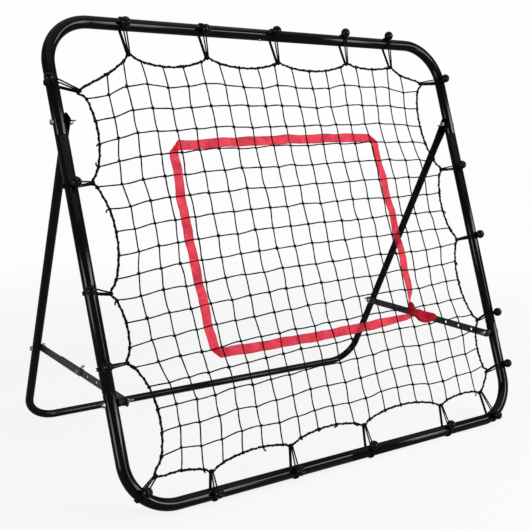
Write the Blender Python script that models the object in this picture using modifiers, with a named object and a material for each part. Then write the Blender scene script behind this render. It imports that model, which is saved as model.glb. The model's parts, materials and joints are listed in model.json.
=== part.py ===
"""Pitch-back rebounder: a leaning tube frame with a bungee-hung net, propped by a folding rear frame.

Metres, +Z up. X runs along the bottom bar, +Y from the net towards the rear frame. The origin is on
the floor, midway between the foremost and the rearmost point. Pieces of the front frame are modelled
in (x, up the frame, out of the front) under one empty, pieces of the rear frame in (x, down the leg,
out of the back) under another, and each strut bar along +Y under an empty at its own pivot.
"""
import math

import bmesh
import bpy
from mathutils import Matrix, Vector

# Front frame
FRAME_W = 1.016          # between the centre lines of the side tubes
FRAME_H = 0.963          # between the centre lines of the top and bottom bars
LEAN = math.radians(20.8)
TUBE_R = 0.0125
TUBE_WALL = 0.0012
CORNER_R = 0.095
SIDES = 16               # facets round every tube
BEND_STEPS = 6

# Rear frame
LEG_TILT = math.radians(28.47)
LEG_R = 0.0095
LEG_WALL = 0.001
LEG_INSET = 0.0153       # leg centre line inside the side tube's centre line
LEG_CORNER_R = 0.07
PRESSED_HALF = 0.0025    # half thickness of the flattened leg top
PRESSED_HALF_WIDTH = 0.0135
PRESS_SHARPNESS = 1.8    # how quickly the pressed faces reach their full spacing across the tube
LEG_END = 0.014          # leg top above its pivot
LEG_FLAT = 0.026         # flattened this far below its pivot
PRESS_FADE = 0.04        # length over which the flattened end turns round again

# Pivots, measured up the front frame from the bottom bar's centre line
PIVOT_UP = 0.7565
STRUT_UP = 0.2105

# Sleeve joints of the tubes
UPPER_SEAM_UP = 0.729
LOWER_SEAM_UP = 0.230
SLEEVE = 0.045
SLEEVE_FACTOR = 0.87
SEAM_GAP = 0.001
LEG_SLEEVE_FACTOR = 0.85

# Strut bars
BAR_WIDTH = 0.018
BAR_THICK = 0.0018
BAR_END = 0.015
HOLE_PITCH = 0.0475
HOLE_COUNT = 8
KNEE_HOLE = 5            # the hole, counted from the front pivot, that the knee bolt uses

# Fasteners
BOLT_R = 0.003
HOLE_R = 0.0034
HEAD_R = 0.0058
HEAD_H = 0.004
NUT_HUB_R = 0.0055
NUT_HUB_H = 0.007
NUT_SPAN = 0.0125
NUT_WING_H = 0.012
NUT_WING_THICK = 0.0024
NUT_TAPER = 0.82         # hub radius at its top over the radius at its seat
THREAD_PROUD = 0.0025    # bolt end beyond the nut
SPACER_R = 0.008
ROUND_SIDES = 12         # facets of bolts, buttons and holes
SPACER_SIDES = 14
CUT_OVER = 0.002         # how far a cutter runs past what it cuts
BUTTON_R = 0.003
BUTTON_FROM_SEAM = 0.018
BUTTON_PROUD = 0.0018    # how far a snap button stands out of its tube
BUTTON_TRAVEL = 0.0032
BUTTON_HOLE_R = 0.0034
CLIP_LENGTH = 0.024      # spring clip inside the sleeve, behind the button
CLIP_WIDTH = 0.005
CLIP_THICK = 0.0007
CLIP_FOLD_R = 0.003
CLIP_LIP = 0.001         # how far the clip's loose end turns up
CLIP_CLEAR = 0.0011      # from the sleeve's flats to the middle of the clip's sheet
GAP = 0.0003
WELD = 0.00001

# Bungees, net and target
BALL_R = 0.0105
BALL_SEGMENTS = 8
BALL_RINGS = 6
CORD_R = 0.0014
LOOP_R = TUBE_R + CORD_R + GAP           # cord centre line round the tube
LOOP_STEP = math.radians(24)
LOOP_TIP = 0.0022                        # half opening of a loop at its net end
LOOP_SHORT = 0.0026                      # loop end outside the net's own corner
LOOP_NEAREST = 0.05                      # least angle between two corners of a loop, radians
BALL_OUT = TUBE_R + BALL_R + 2 * GAP
NET_HALF = 0.0008
RIBBON_HALF_WIDTH = 0.0105
RIBBON_THICK = 0.001
RIBBON_LEFT = -0.2805    # centre lines of the ribbon's four sides
RIBBON_RIGHT = 0.2555
RIBBON_LOW = 0.276
RIBBON_HIGH = 0.7155
KNOT_R = 0.012
KNOT_SHAPE = (0.9, 1.5, 0.42)
TAIL_REACH = 0.06
TAIL_DROP = 0.005

# Each elastic, clockwise from the top left: edge, position along the edge where it crosses the tube,
# ball direction in degrees from outward towards the front, and the net corner at (x, up the frame)
BUNGEES = [
    ("top", -0.344, 100, (-0.340, 0.901)),
    ("top", -0.163, 105, (-0.161, 0.903)),
    ("top", 0.017, 85, (0.019, 0.900)),
    ("top", 0.215, 60, (0.215, 0.907)),
    ("top", 0.350, 55, (0.351, 0.904)),
    ("right", 0.871, 90, (0.440, 0.864)),
    ("right", 0.642, 103, (0.450, 0.638)),
    ("right", 0.459, 75, (0.453, 0.455)),
    ("right", 0.256, 63, (0.464, 0.245)),
    ("right", 0.124, 77, (0.458, 0.114)),
    ("bottom", 0.442, 90, (0.423, 0.067)),
    ("bottom", 0.289, 120, (0.2865, 0.059)),
    ("bottom", 0.055, 120, (0.054, 0.058)),
    ("bottom", -0.146, 90, (-0.143, 0.053)),
    ("bottom", -0.337, 90, (-0.333, 0.042)),
    ("bottom", -0.484, 105, (-0.449, 0.060)),
    ("left", 0.278, 83, (-0.463, 0.281)),
    ("left", 0.424, 73, (-0.470, 0.417)),
    ("left", 0.632, 97, (-0.465, 0.635)),
    ("left", 0.836, 63, (-0.458, 0.820)),
]

# Worked out from the above. The bottom bar stands on the elastics that pass under it.
STEP_ANGLE = 2 * math.pi / SIDES
FLAT = math.cos(STEP_ANGLE / 2)          # apothem of a facetted tube over its corner radius
HALF_W = FRAME_W / 2
LOOP_CORNER_R = LOOP_R / math.cos(LOOP_STEP / 2)
FRONT_Z = LOOP_CORNER_R + CORD_R
REAR_Z = LEG_R * FLAT
PIVOT_Z = FRONT_Z + PIVOT_UP * math.cos(LEAN)
LEG_LENGTH = (PIVOT_Z - REAR_Z) / math.cos(LEG_TILT)
REAR_Y = PIVOT_UP * math.sin(LEAN) + LEG_LENGTH * math.sin(LEG_TILT)      # from the bottom bar
FRONT_Y = (BALL_OUT * math.cos(LEAN) + BALL_R - REAR_Y - LEG_R) / 2
PIVOT_Y = FRONT_Y + PIVOT_UP * math.sin(LEAN)
STRUT_Y = FRONT_Y + STRUT_UP * math.sin(LEAN)
STRUT_Z = FRONT_Z + STRUT_UP * math.cos(LEAN)                             # the strut lies level
STRUT_DOWN = (PIVOT_Z - STRUT_Z) / math.cos(LEG_TILT)                     # its rear pivot, down the leg
STRUT_SPAN = PIVOT_Y + STRUT_DOWN * math.sin(LEG_TILT) - STRUT_Y
KNEE_SPAN = KNEE_HOLE * HOLE_PITCH

# Distances inboard of a side tube's centre line, across each bolted joint
TUBE_HEAD_AT = -TUBE_R - GAP
PIVOT_NUT_AT = LEG_INSET + PRESSED_HALF + GAP
LEG_HEAD_AT = LEG_INSET - LEG_R - GAP
REAR_BAR_AT = LEG_INSET + LEG_R + GAP
FRONT_BAR_AT = REAR_BAR_AT + BAR_THICK + GAP
REAR_NUT_AT = FRONT_BAR_AT
FRONT_NUT_AT = FRONT_BAR_AT + BAR_THICK + GAP
BOLT_TAIL = NUT_HUB_H + THREAD_PROUD     # bolt end beyond the nut's seat

BLACK_PAINT = ("black_paint", (0.012, 0.012, 0.013, 1), 0.28, 0.0)
BLACK_BAR = ("black_bar", (0.02, 0.02, 0.022, 1), 0.4, 0.2)
ZINC = ("zinc", (0.62, 0.63, 0.64, 1), 0.32, 1.0)
BLACK_PLASTIC = ("black_plastic", (0.01, 0.01, 0.011, 1), 0.3, 0.0)
BLACK_CORD = ("black_cord", (0.012, 0.012, 0.012, 1), 0.8, 0.0)
RED_RIBBON = ("red_ribbon", (0.78, 0.03, 0.06, 1), 0.5, 0.0)


# ---------------------------------------------------------------- scene helpers

def clear_scene():
    for item in list(bpy.data.objects):
        bpy.data.objects.remove(item)


def new_collection(name):
    collection = bpy.data.collections.new(name)
    bpy.context.scene.collection.children.link(collection)
    return collection


def material(spec):
    name, colour, roughness, metallic = spec
    found = bpy.data.materials.get(name)
    if found:
        return found
    made = bpy.data.materials.new(name)
    made.use_nodes = True
    shader = made.node_tree.nodes["Principled BSDF"]
    shader.inputs["Base Color"].default_value = colour
    shader.inputs["Roughness"].default_value = roughness
    shader.inputs["Metallic"].default_value = metallic
    return made


def add_object(name, data, look, parent=None, matrix=None):
    item = bpy.data.objects.new(name, data)
    PARTS.objects.link(item)
    data.materials.append(material(look))
    place(item, parent, matrix)
    return item


def place(item, parent, matrix):
    item.parent = parent
    item.matrix_local = matrix or Matrix.Identity(4)


def add_empty(name, location, angle_x, parent=None):
    empty = bpy.data.objects.new(name, None)
    PARTS.objects.link(empty)
    empty.empty_display_size = 0.05
    place(empty, parent, Matrix.Translation(location) @ Matrix.Rotation(angle_x, 4, "X"))
    return empty


def add_cutter(name, mesh, parent, matrix):
    cutter = bpy.data.objects.new(name, mesh)
    CUTTERS.objects.link(cutter)
    cutter.display_type = "WIRE"
    cutter.hide_render = True
    place(cutter, parent, matrix)
    return cutter


def boolean(item, other, operation):
    step = item.modifiers.new(operation.lower(), "BOOLEAN")
    step.object = other
    step.operation = operation
    step.solver = "EXACT"


def shade_smooth(mesh, angle=math.radians(35)):
    mesh.shade_smooth()
    mesh.set_sharp_from_angle(angle=angle)


def cylinder_mesh(name, radius, low, high, segments, top_radius=None):
    """A closed cylinder or cone along Z, from low to high."""
    shape = bmesh.new()
    top = radius if top_radius is None else top_radius
    bmesh.ops.create_cone(shape, cap_ends=True, segments=segments, radius1=radius, radius2=top,
                          depth=high - low)
    bmesh.ops.translate(shape, verts=shape.verts, vec=(0, 0, (low + high) / 2))
    mesh = bpy.data.meshes.new(name)
    shape.to_mesh(mesh)
    shape.free()
    return mesh


def mesh_from_curve(name, curve):
    """The evaluated mesh of a curve, with its caps welded on."""
    helper = bpy.data.objects.new(name, curve)
    bpy.context.scene.collection.objects.link(helper)
    graph = bpy.context.evaluated_depsgraph_get()
    mesh = bpy.data.meshes.new_from_object(helper.evaluated_get(graph))
    bpy.data.objects.remove(helper)
    shape = bmesh.new()
    shape.from_mesh(mesh)
    bmesh.ops.remove_doubles(shape, verts=shape.verts, dist=WELD)
    shape.to_mesh(mesh)
    shape.free()
    mesh.name = name
    return mesh


def inward_x(side):
    """Turns local +Z to point from the given side (-1 left, 1 right) towards the middle."""
    return Matrix.Rotation(-side * math.pi / 2, 4, "Y")


# ---------------------------------------------------------------- tubes

def section_curve(phase):
    """The facetted cross-section, of radius 1, that a tube is swept with."""
    curve = bpy.data.curves.new("section", "CURVE")
    curve.dimensions = "2D"
    spline = curve.splines.new("POLY")
    spline.points.add(SIDES - 1)
    for index, point in enumerate(spline.points):
        angle = phase + index * STEP_ANGLE
        point.co = (math.cos(angle), math.sin(angle), 0, 1)
    spline.use_cyclic_u = True
    section = bpy.data.objects.new("section", curve)
    CUTTERS.objects.link(section)
    section.display_type = "WIRE"
    section.hide_render = True
    return section


def swept_shell(name, path, section, radius):
    """An open tube surface along a path of (x, y, radius factor)."""
    curve = bpy.data.curves.new(name, "CURVE")
    curve.dimensions = "3D"
    curve.twist_mode = "Z_UP"
    curve.bevel_mode = "OBJECT"
    curve.bevel_object = section
    spline = curve.splines.new("POLY")
    spline.points.add(len(path) - 1)
    for point, (x, y, factor) in zip(spline.points, path):
        point.co = (x, y, 0, 1)
        point.radius = radius * factor
    mesh = mesh_from_curve(name, curve)
    mesh.flip_normals()
    return mesh


def bend(centre, radius, start, steps=BEND_STEPS):
    """Points of a clockwise quarter bend that starts at the given angle, in degrees."""
    points = []
    for index in range(steps + 1):
        angle = math.radians(start - 90 * index / steps)
        points.append((centre[0] + radius * math.cos(angle), centre[1] + radius * math.sin(angle), 1.0))
    return points


def sleeve_start(end, inner, factor):
    """A reduced end that slips into the next tube: end is the seam, inner the way along the tube."""
    def along(distance, size):
        return (end[0] + inner[0] * distance, end[1] + inner[1] * distance, size)
    return [along(-SLEEVE, factor), along(SEAM_GAP, factor), along(SEAM_GAP * 1.5, 1.0)]


def add_tube(name, path, section, radius, wall, parent, shape_mesh=None):
    mesh = swept_shell(name, path, section, radius)
    if shape_mesh:
        shape_mesh(mesh)
    shade_smooth(mesh)
    tube = add_object(name, mesh, BLACK_PAINT, parent)
    shell = tube.modifiers.new("wall", "SOLIDIFY")
    shell.thickness = wall
    shell.offset = -1
    shell.use_even_offset = True
    return tube


def front_frame_tubes(parent, section):
    """Four corner tubes and two side tubes, each path running clockwise seen from the front."""
    low, high = CORNER_R, FRAME_H - CORNER_R
    left, right = -HALF_W + CORNER_R, HALF_W - CORNER_R
    swage = SLEEVE_FACTOR
    paths = {
        "corner_tube_bottom_left": [(0, 0, 1)] + bend((left, low), CORNER_R, 270)
        + [(-HALF_W, LOWER_SEAM_UP, 1)],
        "side_tube_left": sleeve_start((-HALF_W, LOWER_SEAM_UP), (0, 1), swage)
        + sleeve_start((-HALF_W, UPPER_SEAM_UP), (0, -1), swage)[::-1],
        "corner_tube_top_left": [(-HALF_W, UPPER_SEAM_UP, 1)] + bend((left, high), CORNER_R, 180)
        + [(0, FRAME_H, 1)],
        "corner_tube_top_right": sleeve_start((0, FRAME_H), (1, 0), swage)
        + bend((right, high), CORNER_R, 90) + [(HALF_W, UPPER_SEAM_UP, 1)],
        "side_tube_right": sleeve_start((HALF_W, UPPER_SEAM_UP), (0, -1), swage)
        + sleeve_start((HALF_W, LOWER_SEAM_UP), (0, 1), swage)[::-1],
        "corner_tube_bottom_right": [(HALF_W, LOWER_SEAM_UP, 1)] + bend((right, low), CORNER_R, 0)
        + sleeve_start((0, 0), (1, 0), swage)[::-1],
    }
    tubes = {}
    for name, path in paths.items():
        tubes[name] = add_tube(name, path, section, TUBE_R, TUBE_WALL, parent)
    return tubes


def press_leg_top(mesh):
    """Flattens the top of a leg between x faces 2 * PRESSED_HALF apart, fading to round below the pivot."""
    side = -1 if sum(v.co.x for v in mesh.vertices) < 0 else 1
    centre = side * (HALF_W - LEG_INSET)
    for vertex in mesh.vertices:
        down = vertex.co.y
        share = min(max((down - LEG_FLAT) / PRESS_FADE, 0.0), 1.0)
        share = share * share * (3 - 2 * share)
        if share >= 1.0:
            continue
        across = (vertex.co.x - centre) / LEG_R
        out = vertex.co.z / LEG_R
        flat_across = max(-1.0, min(1.0, across * PRESS_SHARPNESS)) * PRESSED_HALF
        flat_out = out * PRESSED_HALF_WIDTH
        vertex.co.x = centre + flat_across + (across * LEG_R - flat_across) * share
        vertex.co.z = flat_out + (out * LEG_R - flat_out) * share


def rear_frame_legs(parent, section):
    """Two J-shaped halves, joined by a sleeve in the middle of the rear bar."""
    half = HALF_W - LEG_INSET
    bend_at = LEG_LENGTH - LEG_CORNER_R
    fades = [LEG_FLAT + PRESS_FADE * k / 5 for k in range(6)]
    bent = bend((-half + LEG_CORNER_R, bend_at), LEG_CORNER_R, 180)
    left = [(-half, down, 1) for down in [-LEG_END] + fades] + bent
    right = [(-x, down, 1) for x, down, _ in left[::-1]]
    inner_end = sleeve_start((0, LEG_LENGTH), (-1, 0), LEG_SLEEVE_FACTOR)[::-1]
    return {
        "rear_leg_left": add_tube("rear_leg_left", left + inner_end,
                                  section, LEG_R, LEG_WALL, parent, press_leg_top),
        "rear_leg_right": add_tube("rear_leg_right", [(0, LEG_LENGTH, 1)] + right,
                                   section, LEG_R, LEG_WALL, parent, press_leg_top),
    }


# ---------------------------------------------------------------- fasteners

def finished(name, mesh, operand, operation):
    """The mesh after one boolean with another mesh."""
    body = bpy.data.objects.new(name, mesh)
    tool = bpy.data.objects.new(name + "_tool", operand)
    for helper in (body, tool):
        bpy.context.scene.collection.objects.link(helper)
    boolean(body, tool, operation)
    graph = bpy.context.evaluated_depsgraph_get()
    result = bpy.data.meshes.new_from_object(body.evaluated_get(graph))
    for helper in (body, tool):
        bpy.data.objects.remove(helper)
    result.name = name
    return result


def bolt_mesh(seat, tip):
    """A hexagon bolt along Z with the underside of its head at seat."""
    shank = cylinder_mesh("shank", BOLT_R, seat - HEAD_H / 2, tip, ROUND_SIDES)
    head = cylinder_mesh("head", HEAD_R, seat - HEAD_H, seat, 6)
    return finished("bolt", head, shank, "UNION")


def wing_outline():
    """Two ears rising from the hub, in a plane that holds the nut's axis."""
    root = NUT_HUB_R * 0.5
    right = [(root, NUT_WING_H * 0.07), (NUT_HUB_R, NUT_WING_H * 0.1), (NUT_SPAN * 0.92, NUT_WING_H * 0.5),
             (NUT_SPAN, NUT_WING_H * 0.8), (NUT_SPAN * 0.86, NUT_WING_H),
             (NUT_SPAN * 0.66, NUT_WING_H * 0.94), (root * 1.5, NUT_HUB_H * 0.9), (root, NUT_HUB_H * 0.86)]
    return right + [(-x, z) for x, z in right[::-1]]


def wing_nut_mesh():
    """A wing nut on +Z with its seat at zero and its ears in the XZ plane."""
    hub = cylinder_mesh("hub", NUT_HUB_R, 0, NUT_HUB_H, ROUND_SIDES, NUT_HUB_R * NUT_TAPER)
    ears = flat_mesh("ears", [wing_outline()], NUT_WING_THICK)
    ears.transform(Matrix.Rotation(math.pi / 2, 4, "X"))
    solid = finished("wing_nut", hub, ears, "UNION")
    bore = cylinder_mesh("bore", HOLE_R, -CUT_OVER, NUT_HUB_H + CUT_OVER, ROUND_SIDES)
    return finished("wing_nut", solid, bore, "DIFFERENCE")


def flat_mesh(name, outlines, thickness):
    """A plate in XY from closed outlines, the first its edge and the rest its holes."""
    curve = bpy.data.curves.new(name, "CURVE")
    curve.dimensions = "2D"
    curve.fill_mode = "BOTH"
    curve.extrude = thickness / 2
    for outline in outlines:
        spline = curve.splines.new("POLY")
        spline.points.add(len(outline) - 1)
        for point, (x, y) in zip(spline.points, outline):
            point.co = (x, y, 0, 1)
        spline.use_cyclic_u = True
    return mesh_from_curve(name, curve)


def arc(centre, radius, start, end, steps):
    """Points on an arc, angles in radians."""
    angles = [start + (end - start) * k / steps for k in range(steps + 1)]
    return [(centre[0] + radius * math.cos(a), centre[1] + radius * math.sin(a)) for a in angles]


def bar_mesh(name, start, end, holes):
    """A round-ended bar along X with a row of holes."""
    half = BAR_WIDTH / 2
    edge = arc((end - half, 0), half, -math.pi / 2, math.pi / 2, 6)
    edge += arc((start + half, 0), half, math.pi / 2, 3 * math.pi / 2, 6)
    rims = [arc((hole, 0), HOLE_R, 0, 2 * math.pi * 9 / 10, 9) for hole in holes]
    return flat_mesh(name, [edge] + rims, BAR_THICK)


def drill(targets, name, parent, position, matrix, low, high):
    """Cuts one bolt hole through every target, along Z of the matrix."""
    hole = add_cutter(name, cylinder_mesh(name, HOLE_R, low, high, ROUND_SIDES), parent,
                      Matrix.Translation(position) @ matrix)
    for target in targets:
        boolean(target, hole, "DIFFERENCE")


def add_pivot_hardware(side, word, front, rear, tubes, legs, nut):
    """Bolts, bush and wing nuts of one side, with their holes."""
    inward = inward_x(side)
    edge = side * HALF_W
    upper = [tubes["side_tube_" + word], tubes["corner_tube_top_" + word]]
    lower = [tubes["side_tube_" + word], tubes["corner_tube_bottom_" + word]]
    leg = legs["rear_leg_" + word]
    reach = TUBE_R + CUT_OVER
    drill(upper, "pivot_hole_" + word, front, (edge, PIVOT_UP, 0), inward, -reach, reach)
    drill(lower, "strut_hole_" + word, front, (edge, STRUT_UP, 0), inward, -reach, reach)
    drill([leg], "leg_pivot_hole_" + word, rear, (edge, 0, 0), inward, LEG_HEAD_AT, REAR_BAR_AT)
    drill([leg], "leg_strut_hole_" + word, rear, (edge, STRUT_DOWN, 0), inward, LEG_HEAD_AT, REAR_BAR_AT)

    def at(up):
        return Matrix.Translation((edge, up, 0)) @ inward

    add_object("pivot_bolt_" + word, bolt_mesh(TUBE_HEAD_AT, PIVOT_NUT_AT + BOLT_TAIL), ZINC,
               front, at(PIVOT_UP))
    add_object("strut_front_bolt_" + word, bolt_mesh(TUBE_HEAD_AT, FRONT_NUT_AT + BOLT_TAIL), ZINC,
               front, at(STRUT_UP))
    add_object("strut_rear_bolt_" + word, bolt_mesh(LEG_HEAD_AT, REAR_NUT_AT + BOLT_TAIL), ZINC,
               rear, at(STRUT_DOWN))
    bush = finished("bush", cylinder_mesh("bush", SPACER_R, TUBE_R + GAP, FRONT_BAR_AT - GAP, SPACER_SIDES),
                    cylinder_mesh("bore", HOLE_R, 0, FRONT_NUT_AT, ROUND_SIDES), "DIFFERENCE")
    shade_smooth(bush)
    add_object("strut_spacer_" + word, bush, BLACK_PLASTIC, front, at(STRUT_UP))
    seat_pivot = Matrix.Translation((0, 0, PIVOT_NUT_AT))
    seat_front = Matrix.Translation((0, 0, FRONT_NUT_AT))
    seat_rear = Matrix.Translation((0, 0, REAR_NUT_AT))
    add_object("pivot_wing_nut_" + word, nut.copy(), ZINC, front, at(PIVOT_UP) @ seat_pivot)
    add_object("strut_front_wing_nut_" + word, nut.copy(), ZINC, front, at(STRUT_UP) @ seat_front)
    add_object("strut_rear_wing_nut_" + word, nut.copy(), ZINC, rear, at(STRUT_DOWN) @ seat_rear)


def add_strut(side, word, nut):
    """The two bars of one side, each under an empty at its own pivot, and the knee that joins them."""
    edge = side * HALF_W
    inward = inward_x(side)
    front = add_empty("strut_front_pivot_" + word, (edge, STRUT_Y, STRUT_Z), 0)
    rear = add_empty("strut_rear_pivot_" + word, (edge, STRUT_Y + STRUT_SPAN, STRUT_Z), 0)
    # Turns a bar's X to Y, Y to Z and Z to X
    upright = Matrix(((0, 0, 1, 0), (1, 0, 0, 0), (0, 1, 0, 0), (0, 0, 0, 1)))
    holes = [k * HOLE_PITCH for k in range(HOLE_COUNT)]
    knee_back = KNEE_SPAN - STRUT_SPAN
    front_bar = bar_mesh("strut_front_bar", -BAR_END, holes[-1] + BAR_END, holes)
    rear_bar = bar_mesh("strut_rear_bar", knee_back - BAR_END, BAR_END, [knee_back, 0])
    front_offset = Matrix.Translation((-side * (FRONT_BAR_AT + BAR_THICK / 2), 0, 0))
    rear_offset = Matrix.Translation((-side * (REAR_BAR_AT + BAR_THICK / 2), 0, 0))
    add_object("strut_front_bar_" + word, front_bar, BLACK_BAR, front, front_offset @ upright)
    add_object("strut_rear_bar_" + word, rear_bar, BLACK_BAR, rear, rear_offset @ upright)
    at_front = Matrix.Translation((0, KNEE_SPAN, 0)) @ inward
    at_rear = Matrix.Translation((0, knee_back, 0)) @ inward
    knee_head = bolt_mesh(REAR_BAR_AT - GAP, REAR_BAR_AT + BAR_THICK)
    add_object("knee_bolt_" + word, knee_head, ZINC, rear, at_rear)
    tip = cylinder_mesh("tip", BOLT_R, FRONT_BAR_AT, FRONT_NUT_AT + BOLT_TAIL, ROUND_SIDES)
    add_object("knee_bolt_tip_" + word, tip, ZINC, front, at_front)
    seat = Matrix.Translation((0, 0, FRONT_NUT_AT))
    add_object("knee_wing_nut_" + word, nut.copy(), ZINC, front, at_front @ seat)


# ---------------------------------------------------------------- snap buttons

def clip_mesh(tube_r, wall, factor, outer_r):
    """A button on a folded spring clip. The button points along Z from the tube's centre line."""
    inner = tube_r * factor * FLAT - wall - CLIP_CLEAR
    low = BUTTON_TRAVEL + GAP - inner
    middle = (inner + low) / 2
    curve = bpy.data.curves.new("clip", "CURVE")
    curve.dimensions = "2D"
    curve.fill_mode = "NONE"
    curve.extrude = CLIP_WIDTH / 2
    spline = curve.splines.new("POLY")
    fold = arc((-CLIP_LENGTH * 0.8, middle), CLIP_FOLD_R, math.pi / 2, 3 * math.pi / 2, 6)
    route = [(CLIP_LENGTH * 0.2, inner), (-CLIP_LENGTH * 0.1, inner)] + fold
    route += [(CLIP_LENGTH * 0.1, low), (CLIP_LENGTH * 0.2, low + CLIP_LIP)]
    spline.points.add(len(route) - 1)
    for point, (x, y) in zip(spline.points, route):
        point.co = (x, y, 0, 1)
    helper = bpy.data.objects.new("clip", curve)
    bpy.context.scene.collection.objects.link(helper)
    shell = helper.modifiers.new("sheet", "SOLIDIFY")
    shell.thickness = CLIP_THICK
    shell.offset = 0
    graph = bpy.context.evaluated_depsgraph_get()
    leaf = bpy.data.meshes.new_from_object(helper.evaluated_get(graph))
    bpy.data.objects.remove(helper)
    leaf.transform(Matrix.Rotation(math.pi / 2, 4, "X"))
    button = cylinder_mesh("button", BUTTON_R, inner, outer_r + BUTTON_PROUD, ROUND_SIDES)
    return finished("clip", leaf, button, "UNION")


def add_snap_button(name, parent, centre, turn, sizes, targets, towards):
    """Button, clip and hole. turn maps local Z to the way that the button points."""
    tube_r, wall, factor = sizes
    flip = Matrix.Diagonal((towards, 1, 1, 1))
    mesh = clip_mesh(tube_r, wall, factor, tube_r * FLAT)
    mesh.transform(flip)
    if towards < 0:
        mesh.flip_normals()
    matrix = Matrix.Translation(centre) @ turn
    drill_mesh = cylinder_mesh("hole", BUTTON_HOLE_R, tube_r / 3, tube_r + CUT_OVER, ROUND_SIDES)
    hole = add_cutter(name + "_hole", drill_mesh, parent, matrix)
    for target in targets:
        boolean(target, hole, "DIFFERENCE")
    add_object(name, mesh, ZINC, parent, matrix)


# ---------------------------------------------------------------- elastics, net and target

def crossing(edge, position):
    """The point of the frame's centre line at a position along an edge, and its outward direction."""
    limit_x = HALF_W - CORNER_R
    x = max(-limit_x, min(limit_x, position))
    up = max(CORNER_R, min(FRAME_H - CORNER_R, position))
    if edge in ("top", "bottom"):
        sign = 1 if edge == "top" else -1
        centre = Vector((x, FRAME_H - CORNER_R if edge == "top" else CORNER_R, 0))
        lean = (position - x) / CORNER_R
        outward = Vector((lean, sign * math.sqrt(1 - lean * lean), 0))
    else:
        sign = 1 if edge == "right" else -1
        centre = Vector((sign * limit_x, up, 0))
        lean = (position - up) / CORNER_R
        outward = Vector((sign * math.sqrt(1 - lean * lean), lean, 0))
    chord = math.pi / 2 / BEND_STEPS
    from_middle = abs(math.asin(lean)) % chord - chord / 2
    reach = CORNER_R * math.cos(chord / 2) / math.cos(from_middle)
    return centre + outward * reach, outward


def loop_route(ball_angle, reach, slide):
    """The elastic's closed route in (outward, front, along the tube), starting in the ball."""
    near = math.acos(LOOP_CORNER_R / BALL_OUT)
    far = math.pi - math.acos(LOOP_CORNER_R / reach)
    start, end = ball_angle - near, -far
    first = math.floor((start + LEAN) / LOOP_STEP)
    behind = [start]
    step = first
    while -LEAN + step * LOOP_STEP > end:
        angle = -LEAN + step * LOOP_STEP
        if start - angle > LOOP_NEAREST and angle - end > LOOP_NEAREST:
            behind.append(angle)
        step -= 1
    behind.append(end)
    before = [far, ball_angle + near] if far > ball_angle + near else []
    def on_circle(angle):
        return (LOOP_CORNER_R * math.cos(angle), LOOP_CORNER_R * math.sin(angle), 0)
    route = [(BALL_OUT * math.cos(ball_angle), BALL_OUT * math.sin(ball_angle), 0)]
    route += [on_circle(angle) for angle in behind]
    route += [(-reach, -LOOP_TIP, slide), (-reach, LOOP_TIP, slide)]
    route += [on_circle(angle) for angle in before]
    return route


def add_bungee(name, parent, edge, position, angle, corner):
    """A ball on a loop of elastic that wraps a tube and holds the net's edge."""
    centre, outward = crossing(edge, position)
    along = Vector((-outward.y, outward.x, 0))
    front = Vector((0, 0, 1))
    offset = Vector((corner[0], corner[1], 0)) - centre
    route = loop_route(angle, -offset.dot(outward) - LOOP_SHORT, offset.dot(along))
    curve = bpy.data.curves.new(name, "CURVE")
    curve.dimensions = "3D"
    curve.twist_mode = "MINIMUM"
    curve.bevel_depth = CORD_R
    curve.bevel_resolution = 0
    spline = curve.splines.new("POLY")
    spline.points.add(len(route) - 1)
    for point, (out, ahead, slide) in zip(spline.points, route):
        place_at = centre + outward * out + front * ahead + along * slide
        point.co = (*place_at, 1)
    spline.use_cyclic_u = True
    cord = mesh_from_curve(name, curve)
    ball = bmesh.new()
    bmesh.ops.create_uvsphere(ball, u_segments=BALL_SEGMENTS, v_segments=BALL_RINGS, radius=BALL_R)
    ball_at = centre + outward * BALL_OUT * math.cos(angle) + front * BALL_OUT * math.sin(angle)
    bmesh.ops.translate(ball, verts=ball.verts, vec=ball_at)
    mesh = bpy.data.meshes.new(name)
    ball.to_mesh(mesh)
    ball.free()
    solid = finished(name, mesh, cord, "UNION")
    shade_smooth(solid, math.radians(50))
    add_object(name, solid, BLACK_CORD, parent)


def add_bungees(parent):
    counts = {}
    for edge, position, degrees, corner in BUNGEES:
        counts[edge] = counts.get(edge, 0) + 1
        name = "bungee_" + edge + "_" + str(counts[edge])
        add_bungee(name, parent, edge, position, math.radians(degrees), corner)


def add_net(parent):
    """The net's outline as one thin panel through the points where the elastics hold it."""
    outline = [corner for _, _, _, corner in BUNGEES]
    add_object("net", flat_mesh("net", [outline], 2 * NET_HALF), BLACK_CORD, parent)


def add_ribbon(parent):
    """A square of flat ribbon on the net's front, knotted at its lower right corner with a short tail."""
    half = RIBBON_HALF_WIDTH
    left, right = RIBBON_LEFT - half, RIBBON_RIGHT + half
    low, high = RIBBON_LOW - half, RIBBON_HIGH + half
    edge = [(left, low), (right - half, low), (right + TAIL_REACH, low - TAIL_DROP),
            (right + TAIL_REACH, low + half), (right, low + 2 * half), (right, high), (left, high)]
    inside = [(left + 2 * half, low + 2 * half), (right - 2 * half, low + 2 * half),
              (right - 2 * half, high - 2 * half), (left + 2 * half, high - 2 * half)]
    ring = flat_mesh("target_ribbon", [edge, inside], RIBBON_THICK)
    knot = bmesh.new()
    bmesh.ops.create_icosphere(knot, subdivisions=2, radius=KNOT_R)
    bmesh.ops.scale(knot, verts=knot.verts, vec=KNOT_SHAPE)
    bmesh.ops.translate(knot, verts=knot.verts, vec=(right - half, low + 3 * half, KNOT_R * KNOT_SHAPE[2]))
    ball = bpy.data.meshes.new("knot")
    knot.to_mesh(ball)
    knot.free()
    solid = finished("target_ribbon", ring, ball, "UNION")
    lift = Matrix.Translation((0, 0, NET_HALF + GAP + RIBBON_THICK / 2))
    add_object("target_ribbon", solid, RED_RIBBON, parent, lift)


# ---------------------------------------------------------------- assembly

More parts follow.
